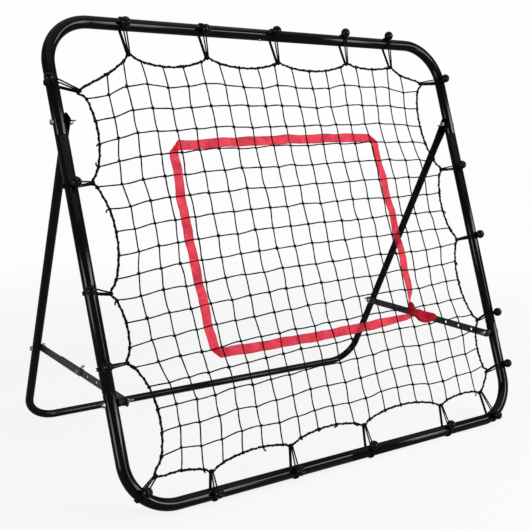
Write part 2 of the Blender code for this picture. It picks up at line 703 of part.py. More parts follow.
clear_scene()
PARTS = new_collection("pitch_back_rebounder")
CUTTERS = new_collection("cutters")

front_frame = add_empty("front_frame", (0, FRONT_Y, FRONT_Z), math.pi / 2 - LEAN)
rear_frame = add_empty("rear_frame", (0, PIVOT_Y, PIVOT_Z), LEG_TILT - math.pi / 2)
front_tubes = front_frame_tubes(front_frame, section_curve(LEAN + STEP_ANGLE / 2))
rear_legs = rear_frame_legs(rear_frame, section_curve(LEG_TILT + STEP_ANGLE / 2))
wing_nut = wing_nut_mesh()
for side_sign, side_word in ((-1, "left"), (1, "right")):
    add_pivot_hardware(side_sign, side_word, front_frame, rear_frame, front_tubes, rear_legs, wing_nut)
    add_strut(side_sign, side_word, wing_nut)

front_sleeve = (TUBE_R, TUBE_WALL, SLEEVE_FACTOR)
rear_sleeve = (LEG_R, LEG_WALL, LEG_SLEEVE_FACTOR)
add_snap_button("snap_button_top", front_frame, (-BUTTON_FROM_SEAM, FRAME_H, 0),
                Matrix.Rotation(math.pi / 2, 4, "X"), front_sleeve,
                [front_tubes["corner_tube_top_left"], front_tubes["corner_tube_top_right"]], -1)
add_snap_button("snap_button_bottom", front_frame, (-BUTTON_FROM_SEAM, 0, 0),
                Matrix.Rotation(math.pi, 4, "X"), front_sleeve,
                [front_tubes["corner_tube_bottom_left"], front_tubes["corner_tube_bottom_right"]], -1)
add_snap_button("snap_button_rear", rear_frame, (BUTTON_FROM_SEAM, LEG_LENGTH, 0),
                Matrix.Identity(4), rear_sleeve,
                [rear_legs["rear_leg_left"], rear_legs["rear_leg_right"]], 1)
add_bungees(front_frame)
add_net(front_frame)
add_ribbon(front_frame)
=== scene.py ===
"""The looks of the pitch-back rebounder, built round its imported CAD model. Metres, +Z up."""
import json
from math import acos, atan2, copysign, cos, pi, radians, sin, sqrt

import bmesh
import bpy
import numpy as np
from mathutils import Matrix, Vector


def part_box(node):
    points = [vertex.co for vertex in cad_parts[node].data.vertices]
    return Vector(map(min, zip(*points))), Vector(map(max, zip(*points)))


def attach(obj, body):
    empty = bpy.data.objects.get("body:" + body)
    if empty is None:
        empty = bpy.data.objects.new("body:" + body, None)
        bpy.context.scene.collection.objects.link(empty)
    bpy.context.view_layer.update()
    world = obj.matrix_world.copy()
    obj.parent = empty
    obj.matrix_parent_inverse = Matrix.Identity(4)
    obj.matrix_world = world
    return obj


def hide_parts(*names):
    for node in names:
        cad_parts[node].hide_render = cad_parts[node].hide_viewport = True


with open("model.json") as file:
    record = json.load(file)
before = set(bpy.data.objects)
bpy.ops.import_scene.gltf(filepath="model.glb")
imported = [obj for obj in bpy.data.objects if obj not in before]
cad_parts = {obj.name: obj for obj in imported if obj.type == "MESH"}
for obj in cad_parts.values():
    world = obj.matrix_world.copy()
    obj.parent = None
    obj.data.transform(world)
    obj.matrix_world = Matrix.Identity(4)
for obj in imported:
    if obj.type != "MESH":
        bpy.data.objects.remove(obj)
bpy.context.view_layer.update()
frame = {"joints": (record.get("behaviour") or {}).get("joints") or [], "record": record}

# ---- sizes, with the CAD source's own where it has them

FRAME_H = 0.963
TUBE_R = 0.0125
TUBE_WALL = 0.0012
CORNER_R = 0.095
LEG_R = 0.0095
LEG_WALL = 0.001
LEG_INSET = 0.0153
LEG_CORNER_R = 0.07
PRESSED_HALF = 0.0025
PRESSED_HALF_WIDTH = 0.0135
LEG_END = 0.014
LEG_FLAT = 0.026
PRESS_FADE = 0.04
PIVOT_UP = 0.7565
STRUT_UP = 0.2105
UPPER_SEAM_UP = 0.729
LOWER_SEAM_UP = 0.230
SLEEVE = 0.045
SLEEVE_FACTOR = 0.87
SEAM_GAP = 0.001
LEG_SLEEVE_FACTOR = 0.85
BAR_WIDTH = 0.018
BAR_THICK = 0.0018
BAR_END = 0.015
HOLE_PITCH = 0.0475
HOLE_COUNT = 8
KNEE_HOLE = 5
BOLT_R = 0.003
HOLE_R = 0.0034
HEAD_R = 0.0058
HEAD_H = 0.004
NUT_HUB_R = 0.0055
NUT_HUB_H = 0.007
NUT_SPAN = 0.0125
NUT_WING_H = 0.012
NUT_WING_THICK = 0.0024
BUTTON_R = 0.003
BUTTON_FROM_SEAM = 0.018
BUTTON_PROUD = 0.0018
BUTTON_CUT = (0.003, 0.02)         # how far from the tube's centre line its hole is cut
CLIP_REACH = 0.024                 # the spring clip's profile below is in shares of this along the tube
LEAF_WIDTH = 0.0045
CLIP_THICK = 0.0007
THREAD_DEPTH = 0.00035
SPACER_R = 0.008
SPACER_WAIST = 0.0074
GAP = 0.0003
BALL_R = 0.0105
ELASTIC_R = 0.0016
LOOP_R = TUBE_R + 0.0014 + GAP     # of an elastic's centre line round the tube
BALL_OUT = TUBE_R + BALL_R + 0.0006
STRAND_SPREAD = 0.0036             # half the distance between an elastic's two cords at the ball
EARLY_SLIDE = 0.06                 # share of an elastic's way along the tube that it goes while round it
BORDER_R = 0.0023

# Each elastic, clockwise from the top left: edge, position along the edge where it crosses the tube, ball
# direction in degrees from outward towards the front, where it holds the net's edge cord, as (x, up the
# frame), and the same in meshes round the edge from the top left corner
BUNGEES = [
    ("top", -0.344, 100, (-0.340, 0.901), 2.41),
    ("top", -0.163, 105, (-0.161, 0.903), 6.38),
    ("top", 0.017, 85, (0.019, 0.900), 10.24),
    ("top", 0.215, 60, (0.215, 0.907), 14.44),
    ("top", 0.350, 55, (0.351, 0.904), 17.23),
    ("right", 0.871, 90, (0.440, 0.864), 19.43),
    ("right", 0.642, 103, (0.450, 0.638), 24.62),
    ("right", 0.459, 75, (0.453, 0.455), 28.73),
    ("right", 0.256, 63, (0.464, 0.245), 33.44),
    ("right", 0.124, 77, (0.458, 0.114), 36.38),
    ("bottom", 0.442, 90, (0.423, 0.067), 37.63),
    ("bottom", 0.289, 120, (0.2865, 0.059), 40.5),
    ("bottom", 0.055, 120, (0.054, 0.058), 45.46),
    ("bottom", -0.146, 90, (-0.143, 0.053), 49.63),
    ("bottom", -0.337, 90, (-0.333, 0.042), 53.65),
    ("bottom", -0.484, 105, (-0.449, 0.060), 56.18),
    ("left", 0.278, 83, (-0.463, 0.281), 61.37),
    ("left", 0.424, 73, (-0.470, 0.417), 64.36),
    ("left", 0.632, 97, (-0.465, 0.635), 69.25),
    ("left", 0.836, 63, (-0.458, 0.820), 73.45),
]
COLUMNS = 19
ROWS = 18
MESH = 0.0462            # side of one mesh of the net
NET_R = 0.0015           # of its twine
NET_HALF_W = 0.45        # half width, top and height of the plain grid that the knots start from
NET_TOP = 0.88
NET_DROP = 0.82
NET_MIDDLE = 0.48        # the height that the loose ends point away from
MESH_REST = 0.8          # resting lengths of the mesh cords and of the edge cord, in meshes
EDGE_REST = 0.94
EDGE_STIFFNESS = 8       # of the edge cord, against 1 for a mesh cord
SETTLING_STEPS = 3500
SETTLING_RATE = 0.45
KNOT_WANDER = (0.0013, 0.0013, 0.0007)
CORD_BOW = 0.0007
SAG = 0.0035             # how far the middle of the net hangs behind its edges
SAG_HALF_W = 0.46
SAG_MIDDLE = 0.47
SAG_HALF_H = 0.43
MESH_KNOT = (0.0029, 0.0013)       # size and cord radius of the net's knots, and of its edge's
EDGE_KNOT = (0.0033, 0.0014)
LOOSE_END_SHARE = 0.34
LOOSE_END_R = 0.0017
WHIPPING_R = 0.001
WHIPPING_PITCH = 0.021
TAPE_WIDTH = 0.021
TAPE_THICK = 0.00045
TAPE_LIFT = 0.0019       # how far the woven tape passes in front of or behind the cords
FOLD_LENGTH = 0.026
SELVEDGE = (0.0080, 0.0104)        # where the tape's denser edge starts and ends, from its middle
WEAVE_PITCH = 0.0007
KNOT_HALF_WIDTH = 0.0106
KNOT_MIDDLE = 0.0046     # the depth about which the ribbon's knot is flattened
KNOT_FLATNESS = 0.42

# ---- places, from the frame

JOINTS = {joint["name"]: joint for joint in frame["joints"]}
BODY_OF = {node: body for body, nodes in frame["record"]["behaviour"]["bodies"].items() for node in nodes}
PIVOT = Vector(JOINTS["rear_frame_fold"]["pos_m"])
STRUT = Vector(JOINTS["strut_front_fold_left"]["pos_m"])
REAR_STRUT = Vector(JOINTS["strut_rear_fold_left"]["pos_m"])
HALF_W = -STRUT.x
LEAN = atan2(PIVOT.y - STRUT.y, PIVOT.z - STRUT.z)
TILT = atan2(REAR_STRUT.y - PIVOT.y, PIVOT.z - REAR_STRUT.z)
FRONT = (Matrix.Translation((0, PIVOT.y - PIVOT_UP * sin(LEAN), PIVOT.z - PIVOT_UP * cos(LEAN)))
         @ Matrix.Rotation(pi / 2 - LEAN, 4, "X"))
REAR = Matrix.Translation((0, PIVOT.y, PIVOT.z)) @ Matrix.Rotation(TILT - pi / 2, 4, "X")
STRUT_DOWN = (PIVOT.z - REAR_STRUT.z) / cos(TILT)
leg_bar_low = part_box("rear_leg_left")[0].z
ROUND_LEG_R = LEG_R * cos(pi / 16)       # a round leg as tall as the CAD's facetted one
LEG_LENGTH = (PIVOT.z - leg_bar_low - ROUND_LEG_R) / cos(TILT)
PIVOT_NUT_AT = LEG_INSET + PRESSED_HALF + GAP
LEG_HEAD_AT = LEG_INSET - LEG_R - GAP
REAR_BAR_AT = LEG_INSET + LEG_R + GAP
FRONT_BAR_AT = REAR_BAR_AT + BAR_THICK + GAP
FRONT_NUT_AT = FRONT_BAR_AT + BAR_THICK + GAP
BOLT_TAIL = NUT_HUB_H + 0.0025

rng = np.random.default_rng(7)


# ---- mesh building

class Skin:
    """Vertices, faces and UVs of several shapes. U is a turn, or metres across, and V is metres along."""

    def __init__(self, *shapes):
        self.verts, self.faces, self.uvs = [], [], []
        self.count = 0
        for shape in shapes:
            self.add(shape)

    def add(self, shape, matrix=None):
        verts, faces, uvs = shape
        verts = np.asarray(verts, float)
        if matrix is not None:
            turn = np.array(matrix)
            verts = verts @ turn[:3, :3].T + turn[:3, 3]
        self.verts.append(verts)
        self.faces += [tuple(corner + self.count for corner in face) for face in faces]
        self.uvs.append(np.asarray(uvs, float).reshape(-1, 2))
        self.count += len(verts)


def directions(points, closed=False):
    """Unit tangents of a path, and two unit vectors across it that turn as little as they can."""
    p = np.asarray(points, float)
    if closed:
        along = np.roll(p, -1, 0) - np.roll(p, 1, 0)
    else:
        along = np.gradient(p, axis=0)
    along /= np.linalg.norm(along, axis=1)[:, None]
    first = np.cross(along[0], (0.0, 0.0, 1.0))
    if np.linalg.norm(first) < 0.1:
        first = np.cross(along[0], (1.0, 0.0, 0.0))
    across = np.zeros_like(p)
    across[0] = first / np.linalg.norm(first)
    for k in range(1, len(p)):
        side = across[k - 1] - along[k] * across[k - 1].dot(along[k])
        across[k] = side / np.linalg.norm(side)
    return along, across, np.cross(along, across)


def run_of(points):
    """Distance along a path at each of its points."""
    steps = np.linalg.norm(np.diff(np.asarray(points, float), axis=0), axis=1)
    return np.concatenate([[0.0], np.cumsum(steps)])


def ring_skin(lengths, sides, closed=False):
    """Faces and UVs between rings of points at the given lengths."""
    faces, uvs = [], []
    rings = len(lengths)
    ends = list(lengths[1:]) + ([2 * lengths[-1] - lengths[-2]] if closed else [])
    for i, (low, high) in enumerate(zip(lengths, ends)):
        here, there = i * sides, (i + 1) % rings * sides
        for k in range(sides):
            following = (k + 1) % sides
            left, right = k / sides, (k + 1) / sides
            faces.append((here + k, here + following, there + following, there + k))
            uvs += [(left, low), (right, low), (right, high), (left, high)]
    return faces, uvs


def cord(points, radius, sides=7, closed=False, lobes=0, depth=0.0, pitch=0.01):
    """A round cord along a path, or a laid one with lobes that wind round it once in pitch."""
    p = np.asarray(points, float)
    _, across, other = directions(p, closed)
    lengths = run_of(p)
    turn = np.arange(sides) * 2 * pi / sides
    size = np.broadcast_to(radius, len(p))[:, None] * np.ones(sides)
    if lobes:
        size = size * (1 + depth * np.cos(lobes * (turn[None, :] - 2 * pi * lengths[:, None] / pitch)))
    rings = (p[:, None, :] + size[:, :, None] * (np.cos(turn)[None, :, None] * across[:, None, :]
                                                + np.sin(turn)[None, :, None] * other[:, None, :]))
    verts = rings.reshape(-1, 3)
    faces, uvs = ring_skin(lengths, sides, closed)
    if not closed:
        tips = [p[0], p[-1]]
        base = len(verts)
        verts = np.vstack([verts, tips])
        last = (len(p) - 1) * sides
        for k in range(sides):
            following = (k + 1) % sides
            faces.append((base, following, k))
            faces.append((base + 1, last + k, last + following))
            uvs += [(0.5, 0), (following / sides, 0), (k / sides, 0)]
            uvs += [(0.5, lengths[-1]), (k / sides, lengths[-1]), (following / sides, lengths[-1])]
    return verts, faces, uvs


def smooth_path(points, step, closed=False):
    """Points about a step apart on a Catmull-Rom curve through the given ones."""
    p = np.asarray(points, float)
    count = len(p)
    out = []
    for i in range(count if closed else count - 1):
        b, c = p[i], p[(i + 1) % count]
        a = p[i - 1] if closed or i else b
        d = p[(i + 2) % count] if closed or i + 2 < count else c
        parts = max(2, int(round(np.linalg.norm(c - b) / step)))
        for k in range(parts):
            t = k / parts
            out.append(0.5 * (2 * b + (c - a) * t + (2 * a - 5 * b + 4 * c - d) * t * t
                              + (3 * b - a - 3 * c + d) * t ** 3))
    if not closed:
        out.append(p[-1])
    return np.array(out)


def lathe(profile, sides=32, shape=None):
    """A closed turned solid about Z from (radius, z) points; a first or last radius of zero is a pole."""
    turn = np.arange(sides) * 2 * pi / sides
    poles = [profile[0][0] == 0, profile[-1][0] == 0]
    rims = [point for point in profile if point[0] > 0]
    verts = []
    for radius, z in rims:
        size = radius * (np.ones(sides) if shape is None else shape(turn, radius, z))
        verts += list(zip(size * np.cos(turn), size * np.sin(turn), np.full(sides, z)))
    closed = not any(poles)
    faces, uvs = ring_skin(run_of([(radius, 0, z) for radius, z in rims]), sides, closed)
    for end, (is_pole, point) in enumerate(zip(poles, (profile[0], profile[-1]))):
        if not is_pole:
            continue
        tip = len(verts)
        verts.append((0.0, 0.0, point[1]))
        base = 0 if end == 0 else (len(rims) - 1) * sides
        for k in range(sides):
            pair = (base + (k + 1) % sides, base + k)
            faces.append((tip,) + (pair if end == 0 else pair[::-1]))
            uvs += [(0.5, 0), (0.5, 0), (0.5, 0)]
    return verts, faces, uvs


def mesh_of(skin, name, sharp=40):
    mesh = bpy.data.meshes.new(name)
    mesh.from_pydata(np.vstack(skin.verts).tolist(), [], skin.faces)
    layer = mesh.uv_layers.new(name="UVMap")
    layer.data.foreach_set("uv", np.vstack(skin.uvs).astype(np.float32).ravel())
    mesh.shade_smooth()
    mesh.set_sharp_from_angle(angle=radians(sharp))
    return mesh


def linked(name, data):
    """A new object in the scene."""
    made = bpy.data.objects.new(name, data)
    bpy.context.scene.collection.objects.link(made)
    return made


def piece(name, mesh, look, body, nodes=()):
    """Shows a mesh that rides on a body and stands for CAD nodes."""
    mesh.materials.clear()
    mesh.materials.append(look)
    shown = linked(name, mesh)
    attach(shown, body)
    if nodes:
        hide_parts(*nodes)
    return shown


def front_piece(name, mesh, look, nodes=()):
    """Shows a mesh built in the plane of the front frame, with which it moves."""
    mesh.transform(FRONT)
    return piece(name, mesh, look, "front_frame", nodes)


def stand_in(node, mesh, place, look):
    """Shows a mesh, moved to its place, instead of one CAD node."""
    mesh.transform(place)
    piece(node + "_shown", mesh, look, BODY_OF[node], [node])


def baked(helper):
    """The mesh that an object comes to, and the end of the object."""
    graph = bpy.context.evaluated_depsgraph_get()
    mesh = bpy.data.meshes.new_from_object(helper.evaluated_get(graph))
    bpy.data.objects.remove(helper)
    return mesh


def modified(mesh, kind, **settings):
    """The mesh after one modifier."""
    helper = linked("helper", mesh)
    step = helper.modifiers.new(kind.lower(), kind)
    for key, value in settings.items():
        setattr(step, key, value)
    return baked(helper)


# ---- materials

PALE = (0.86, 0.86, 0.86)
DARK = (0.02, 0.02, 0.02)
WHITE = (1, 1, 1, 1)


def feed(tree, socket, source):
    """Sets a node's input to a value, or links it to another node's output."""
    if isinstance(source, bpy.types.NodeSocket):
        tree.links.new(source, socket)
    else:
        socket.default_value = source


def add_node(tree, kind, inputs, **settings):
    node = tree.nodes.new("ShaderNode" + kind)
    for key, value in settings.items():
        setattr(node, key, value)
    for key, source in inputs.items():
        feed(tree, node.inputs[key], source)
    return node


def seen_directly(tree):
    """1 for what the camera sees, also through something clear, and 0 for light and reflections."""
    path = add_node(tree, "LightPath", {}).outputs
    rays = {0: path["Is Camera Ray"], 1: path["Is Transmission Ray"]}
    return add_node(tree, "Math", rays, operation="MAXIMUM").outputs[0]


class Look:
    """A Principled material with short ways to wire procedural nodes."""

    def __init__(self, name, colour, roughness, **settings):
        self.material = bpy.data.materials.new(name)
        self.material.use_nodes = True
        self.tree = self.material.node_tree
        self.shader = self.tree.nodes["Principled BSDF"]
        self.shade("Base Color", (*colour, 1))
        self.shade("Roughness", roughness)
        for key, value in settings.items():
            self.shade(key.replace("_", " "), value)
        self.place = add_node(self.tree, "TexCoord", {})
        self.bumps = {}

    def shade(self, key, source):
        feed(self.tree, self.shader.inputs[key], source)

    def noise(self, scale, detail, distortion=0.0):
        inputs = {"Scale": scale, "Detail": detail, "Distortion": distortion,
                  "Vector": self.place.outputs["Object"]}
        return add_node(self.tree, "TexNoise", inputs).outputs["Fac"]

    def math(self, operation, first, second=0.0):
        return add_node(self.tree, "Math", {0: first, 1: second}, operation=operation).outputs[0]

    def uv(self):
        return add_node(self.tree, "SeparateXYZ", {0: self.place.outputs["UV"]}).outputs[:2]

    def remap(self, value, low, high, new_low, new_high):
        inputs = {"Value": value, "From Min": low, "From Max": high, "To Min": new_low, "To Max": new_high}
        return add_node(self.tree, "MapRange", inputs).outputs["Result"]

    def tint(self, value, stops):
        """Base colour from a value through (position, colour) stops."""
        ramp = add_node(self.tree, "ValToRGB", {"Fac": value})
        while len(ramp.color_ramp.elements) < len(stops):
            ramp.color_ramp.elements.new(0.5)
        for element, (position, colour) in zip(ramp.color_ramp.elements, stops):
            element.position = position
            element.color = (*colour, 1)
        self.shade("Base Color", ramp.outputs["Color"])

    def rough(self, value, low, high):
        self.shade("Roughness", self.remap(value, 0.3, 0.7, low, high))

    def bump(self, height, distance, strength):
        """Adds bumps to the ones there are."""
        inputs = {"Distance": distance, "Strength": strength, "Height": height, **self.bumps}
        self.bumps = {"Normal": add_node(self.tree, "Bump", inputs).outputs["Normal"]}
        self.shade("Normal", self.bumps["Normal"])

    def strands(self, count, pitch, both):
        """Ridges that wind round a cord, from its UVs, once or crossing."""
        turn, along = self.uv()
        climb = self.math("MULTIPLY", along, 2 * pi / pitch)
        ridge = None
        for hand in (1, -1) if both else (1,):
            angle = self.math("ADD", self.math("MULTIPLY", turn, hand * 2 * pi * count), climb)
            wave = self.math("SINE", angle)
            ridge = wave if ridge is None else self.math("MAXIMUM", ridge, wave)
        return ridge


def powder_coat(name, colour, low, high, specular):
    look = Look(name, colour, low, Specular_IOR_Level=specular)
    patch = look.noise(14, 4)
    look.tint(patch, [(0.3, [c * 0.8 for c in colour]), (0.7, [c * 1.35 for c in colour])])
    look.rough(look.noise(38, 5), low, high)
    look.bump(look.noise(900, 2), 0.00006, 0.5)
    look.bump(look.noise(160, 2, distortion=0.6), 0.0001, 0.35)
    return look.material


def zinc_plate():
    look = Look("zinc_plate", (0.6, 0.6, 0.6), 0.3, Metallic=1.0)
    look.tint(look.noise(220, 4), [(0.25, (0.26, 0.26, 0.25)), (0.55, (0.46, 0.46, 0.46)),
                                   (0.8, (0.60, 0.59, 0.57))])
    look.rough(look.noise(500, 4), 0.24, 0.46)
    look.bump(look.noise(1600, 3), 0.00005, 0.5)
    return look.material


def black_twine(name, count, pitch, both, colour):
    look = Look(name, (colour, colour, colour), 0.75, Specular_IOR_Level=0.06)
    look.tint(look.noise(700, 4), [(0.3, (colour * 0.6,) * 3), (0.75, (colour * 2.2,) * 3)])
    look.rough(look.noise(300, 3), 0.62, 0.9)
    look.bump(look.strands(count, pitch, both), 0.00022, 0.8)
    look.bump(look.noise(2600, 3), 0.00012, 0.6)
    return look.material


def moulded_plastic(name, colour, low, high):
    look = Look(name, colour, low, Specular_IOR_Level=0.16)
    look.tint(look.noise(60, 3), [(0.3, [c * 0.75 for c in colour]), (0.7, [c * 1.4 for c in colour])])
    look.rough(look.noise(120, 4), low, high)
    look.bump(look.noise(1100, 2), 0.00004, 0.4)
    return look.material


def ribbon_cloth(name, base, dark, light, alpha, through):
    """Thin woven tape: V is metres along and U metres across from its middle, with denser selvedges."""
    look = Look(name, base, 0.55, Alpha=alpha, Specular_IOR_Level=0.3, Sheen_Weight=0.2)
    look.shade("Transmission Weight", through)
    look.shade("IOR", 1.02)
    across, along = look.uv()
    patch = look.noise(42, 4, distortion=0.8)
    edge = look.remap(look.math("ABSOLUTE", across), *SELVEDGE, 0.0, 0.5)
    value = look.math("SUBTRACT", look.remap(patch, 0.3, 0.7, 0.12, 1.0), edge)
    look.tint(value, [(0.0, dark), (0.5, base), (1.0, light)])
    look.rough(look.noise(90, 3), 0.45, 0.7)
    warp = look.math("SINE", look.math("MULTIPLY", across, 2 * pi / WEAVE_PITCH))
    weft = look.math("SINE", look.math("MULTIPLY", along, 2 * pi / WEAVE_PITCH))
    look.bump(look.math("MULTIPLY", warp, weft), 0.00012, 0.5)
    look.bump(look.noise(130, 3, distortion=1.0), 0.0016, 0.45)
    return look.material


BLACK = powder_coat("gloss_black_powder", (0.0022, 0.0022, 0.0024), 0.10, 0.15, 0.17)
BLACK_BAR = powder_coat("satin_black_bar", (0.022, 0.022, 0.023), 0.3, 0.42, 0.4)
ZINC = zinc_plate()
SPACER = moulded_plastic("spacer_nylon", (0.012, 0.012, 0.012), 0.4, 0.52)
BALL = moulded_plastic("ball_plastic", (0.003, 0.003, 0.0032), 0.14, 0.22)
NET_CORD = black_twine("net_twine", 3, 0.006, False, 0.0045)
EDGE_CORD = black_twine("edge_twine", 6, 0.004, False, 0.004)
ELASTIC = black_twine("elastic_braid", 6, 0.0045, True, 0.004)
RIBBON = ribbon_cloth("red_tape", (0.74, 0.022, 0.055), (0.45, 0.008, 0.028), (0.86, 0.05, 0.09), 0.89, 0.8)
TAIL = ribbon_cloth("red_tape_doubled", (0.36, 0.0008, 0.012), (0.20, 0.0005, 0.006),
                    (0.46, 0.004, 0.022), 1.0, 0.0)


# ---- tubes

def bend(centre, radius, start, steps=24):
    """Points of a clockwise quarter bend that starts at the given angle, in degrees."""
    angles = [radians(start - 90 * k / steps) for k in range(steps + 1)]
    return [(centre[0] + radius * cos(a), centre[1] + radius * sin(a), 1.0) for a in angles]


def ending(end, inner, stops):
    """Path points from (distance inward, size) stops at a tube's end."""
    return [(end[0] + inner[0] * d, end[1] + inner[1] * d, size) for d, size in stops]


def swaged(end, inner, factor):
    """A reduced end that slips into the next tube."""
    return ending(end, inner, [(-SLEEVE, factor * 0.97), (-SLEEVE + 0.0012, factor), (SEAM_GAP * 0.4, factor),
                               (SEAM_GAP * 0.9, factor * 0.3 + 0.68), (SEAM_GAP * 1.8, 1.0)])


def square_end(end, inner):
    """A cut end with its outer edge just broken."""
    return ending(end, inner, [(0.0, 0.968), (0.0002, 0.986), (0.0007, 1.0)])


def pipe(path, radius, wall, sides=44):
    """A tube with an inside, its ends joined by rims."""
    p = np.array([(x, y, 0.0) for x, y, _ in path])
    outer = np.array([size for _, _, size in path]) * radius
    _, across, other = directions(p)
    turn = np.arange(sides) * 2 * pi / sides
    lengths = run_of(p)
    rings = []
    marks = []
    for order, sizes in ((range(len(p)), outer), (range(len(p) - 1, -1, -1), outer - wall)):
        for k in order:
            circle = np.outer(np.cos(turn), across[k]) + np.outer(np.sin(turn), other[k])
            rings.append(p[k] + sizes[k] * circle)
            marks.append(lengths[k])
    return np.vstack(rings), *ring_skin(marks, sides, True)


def pressed(shape):
    """The leg with its top flattened across X, as the CAD's."""
    verts = np.array(shape[0])
    centre = copysign(HALF_W - LEG_INSET, verts[:, 0].sum())
    share = np.clip((verts[:, 1] - LEG_FLAT) / PRESS_FADE, 0, 1)
    share = share * share * (3 - 2 * share)
    across = (verts[:, 0] - centre) / ROUND_LEG_R
    out = verts[:, 2] / ROUND_LEG_R
    flat_x = np.clip(across * 1.8, -1, 1) * PRESSED_HALF
    flat_z = out * PRESSED_HALF_WIDTH
    moved = share < 1
    verts[moved, 0] = (centre + flat_x + (across * ROUND_LEG_R - flat_x) * share)[moved]
    verts[moved, 2] = (flat_z + (out * ROUND_LEG_R - flat_z) * share)[moved]
    return verts, shape[1], shape[2]


def button_hole(centre, turn):
    """A cutter for the hole of a snap button, as an object."""
    low, high = BUTTON_CUT
    hole = lathe([(0, low), (BUTTON_R + GAP, low), (BUTTON_R + GAP, high), (0, high)], 24)
    mesh = mesh_of(Skin(hole), "hole")
    mesh.transform(Matrix.Translation(centre) @ turn)
    return linked("hole", mesh)


def add_button(name, place, radius):
    """A snap button, which points along Z from its tube's centre line, on the leaf of its spring clip."""
    top = radius * cos(pi / 16) + BUTTON_PROUD
    dome = [(0, radius * 0.45), (BUTTON_R - 0.0004, radius * 0.45), (BUTTON_R, radius * 0.5),
            (BUTTON_R, top - 0.001), (BUTTON_R * 0.92, top - 0.0005), (BUTTON_R * 0.72, top - 0.00015),
            (BUTTON_R * 0.4, top), (0, top)]
    leaf = [(0.2, 0.5), (-0.3, 0.5), (-0.62, 0.42), (-0.7, 0.16), (-0.62, -0.08), (-0.2, -0.16), (0.2, -0.12)]
    clip = strap([(x * CLIP_REACH, 0, z * radius) for x, z in leaf], LEAF_WIDTH, CLIP_THICK)
    stand_in(name, mesh_of(Skin(lathe(dome, 28), clip), name), place, ZINC)


def add_tubes():
    low, high = CORNER_R, FRAME_H - CORNER_R
    left, right = -HALF_W + CORNER_R, HALF_W - CORNER_R
    swage = SLEEVE_FACTOR
    paths = {
        "corner_tube_bottom_left": square_end((0, 0), (-1, 0)) + bend((left, low), CORNER_R, 270)
        + square_end((-HALF_W, LOWER_SEAM_UP), (0, -1))[::-1],
        "side_tube_left": swaged((-HALF_W, LOWER_SEAM_UP), (0, 1), swage)
        + swaged((-HALF_W, UPPER_SEAM_UP), (0, -1), swage)[::-1],
        "corner_tube_top_left": square_end((-HALF_W, UPPER_SEAM_UP), (0, 1))
        + bend((left, high), CORNER_R, 180) + square_end((0, FRAME_H), (-1, 0))[::-1],
        "corner_tube_top_right": swaged((0, FRAME_H), (1, 0), swage)
        + bend((right, high), CORNER_R, 90) + square_end((HALF_W, UPPER_SEAM_UP), (0, 1))[::-1],
        "side_tube_right": swaged((HALF_W, UPPER_SEAM_UP), (0, -1), swage)
        + swaged((HALF_W, LOWER_SEAM_UP), (0, 1), swage)[::-1],
        "corner_tube_bottom_right": square_end((HALF_W, LOWER_SEAM_UP), (0, -1))
        + bend((right, low), CORNER_R, 0) + swaged((0, 0), (1, 0), swage)[::-1],
    }
    half = HALF_W - LEG_INSET
    fades = [LEG_FLAT + PRESS_FADE * k / 14 for k in range(15)]
    curve = bend((-half + LEG_CORNER_R, LEG_LENGTH - LEG_CORNER_R), LEG_CORNER_R, 180)
    leg = [(-half, down, 1.0) for down in [-LEG_END, -LEG_END + 0.0006] + fades] + curve
    legs = {
        "rear_leg_left": leg + swaged((0, LEG_LENGTH), (-1, 0), LEG_SLEEVE_FACTOR)[::-1],
        "rear_leg_right": square_end((0, LEG_LENGTH), (1, 0))
        + [(-x, down, size) for x, down, size in leg[::-1]],
    }
    buttons = {
        "snap_button_top": (FRONT, (-BUTTON_FROM_SEAM, FRAME_H, 0), Matrix.Rotation(pi / 2, 4, "X"),
                            TUBE_R, ("corner_tube_top_left", "corner_tube_top_right")),
        "snap_button_bottom": (FRONT, (-BUTTON_FROM_SEAM, 0, 0), Matrix.Rotation(pi, 4, "X"),
                               TUBE_R, ("corner_tube_bottom_left", "corner_tube_bottom_right")),
        "snap_button_rear": (REAR, (BUTTON_FROM_SEAM, LEG_LENGTH, 0), Matrix.Identity(4),
                             ROUND_LEG_R, ("rear_leg_left", "rear_leg_right")),
    }
    cuts = {}
    for name, (place, centre, turn, radius, nodes) in buttons.items():
        cutter = button_hole(centre, turn)
        for node in nodes:
            cuts[node] = cutter
        add_button(name, place @ Matrix.Translation(centre) @ turn, radius)
    for name, path in {**paths, **legs}.items():
        is_leg = name in legs
        shape = pipe(path, ROUND_LEG_R if is_leg else TUBE_R, LEG_WALL if is_leg else TUBE_WALL)
        mesh = mesh_of(Skin(pressed(shape) if is_leg else shape), name)
        if name in cuts:
            mesh = modified(mesh, "BOOLEAN", object=cuts[name], operation="DIFFERENCE", solver="EXACT")
            mesh.set_sharp_from_angle(angle=radians(40))
        stand_in(name, mesh, REAR if is_leg else FRONT, BLACK)
    for cutter in set(cuts.values()):
        bpy.data.objects.remove(cutter)


def strap(points, width, thick):
    """A flat bent strip, wide along Y, through points in the XZ plane."""
    p = smooth_path(points, 0.0012)
    along, _, _ = directions(p)
    normal = np.cross(along, (0.0, 1.0, 0.0))
    rings = []
    for point, up in zip(p, normal):
        for side, lift in ((-1, -1), (1, -1), (1, 1), (-1, 1)):
            rings.append(point + np.array((0, side * width / 2, 0)) + up * lift * thick / 2)
    faces, uvs = ring_skin(run_of(p), 4)
    faces += [(3, 2, 1, 0), tuple(len(rings) - 4 + k for k in range(4))]
    return np.array(rings), faces, uvs + [(0, 0)] * 8


# ---- fasteners and strut bars

def inward_x(side):
    """Turns local +Z to point from the given side (-1 left, 1 right) towards the middle."""
    return Matrix.Rotation(-side * pi / 2, 4, "Y")


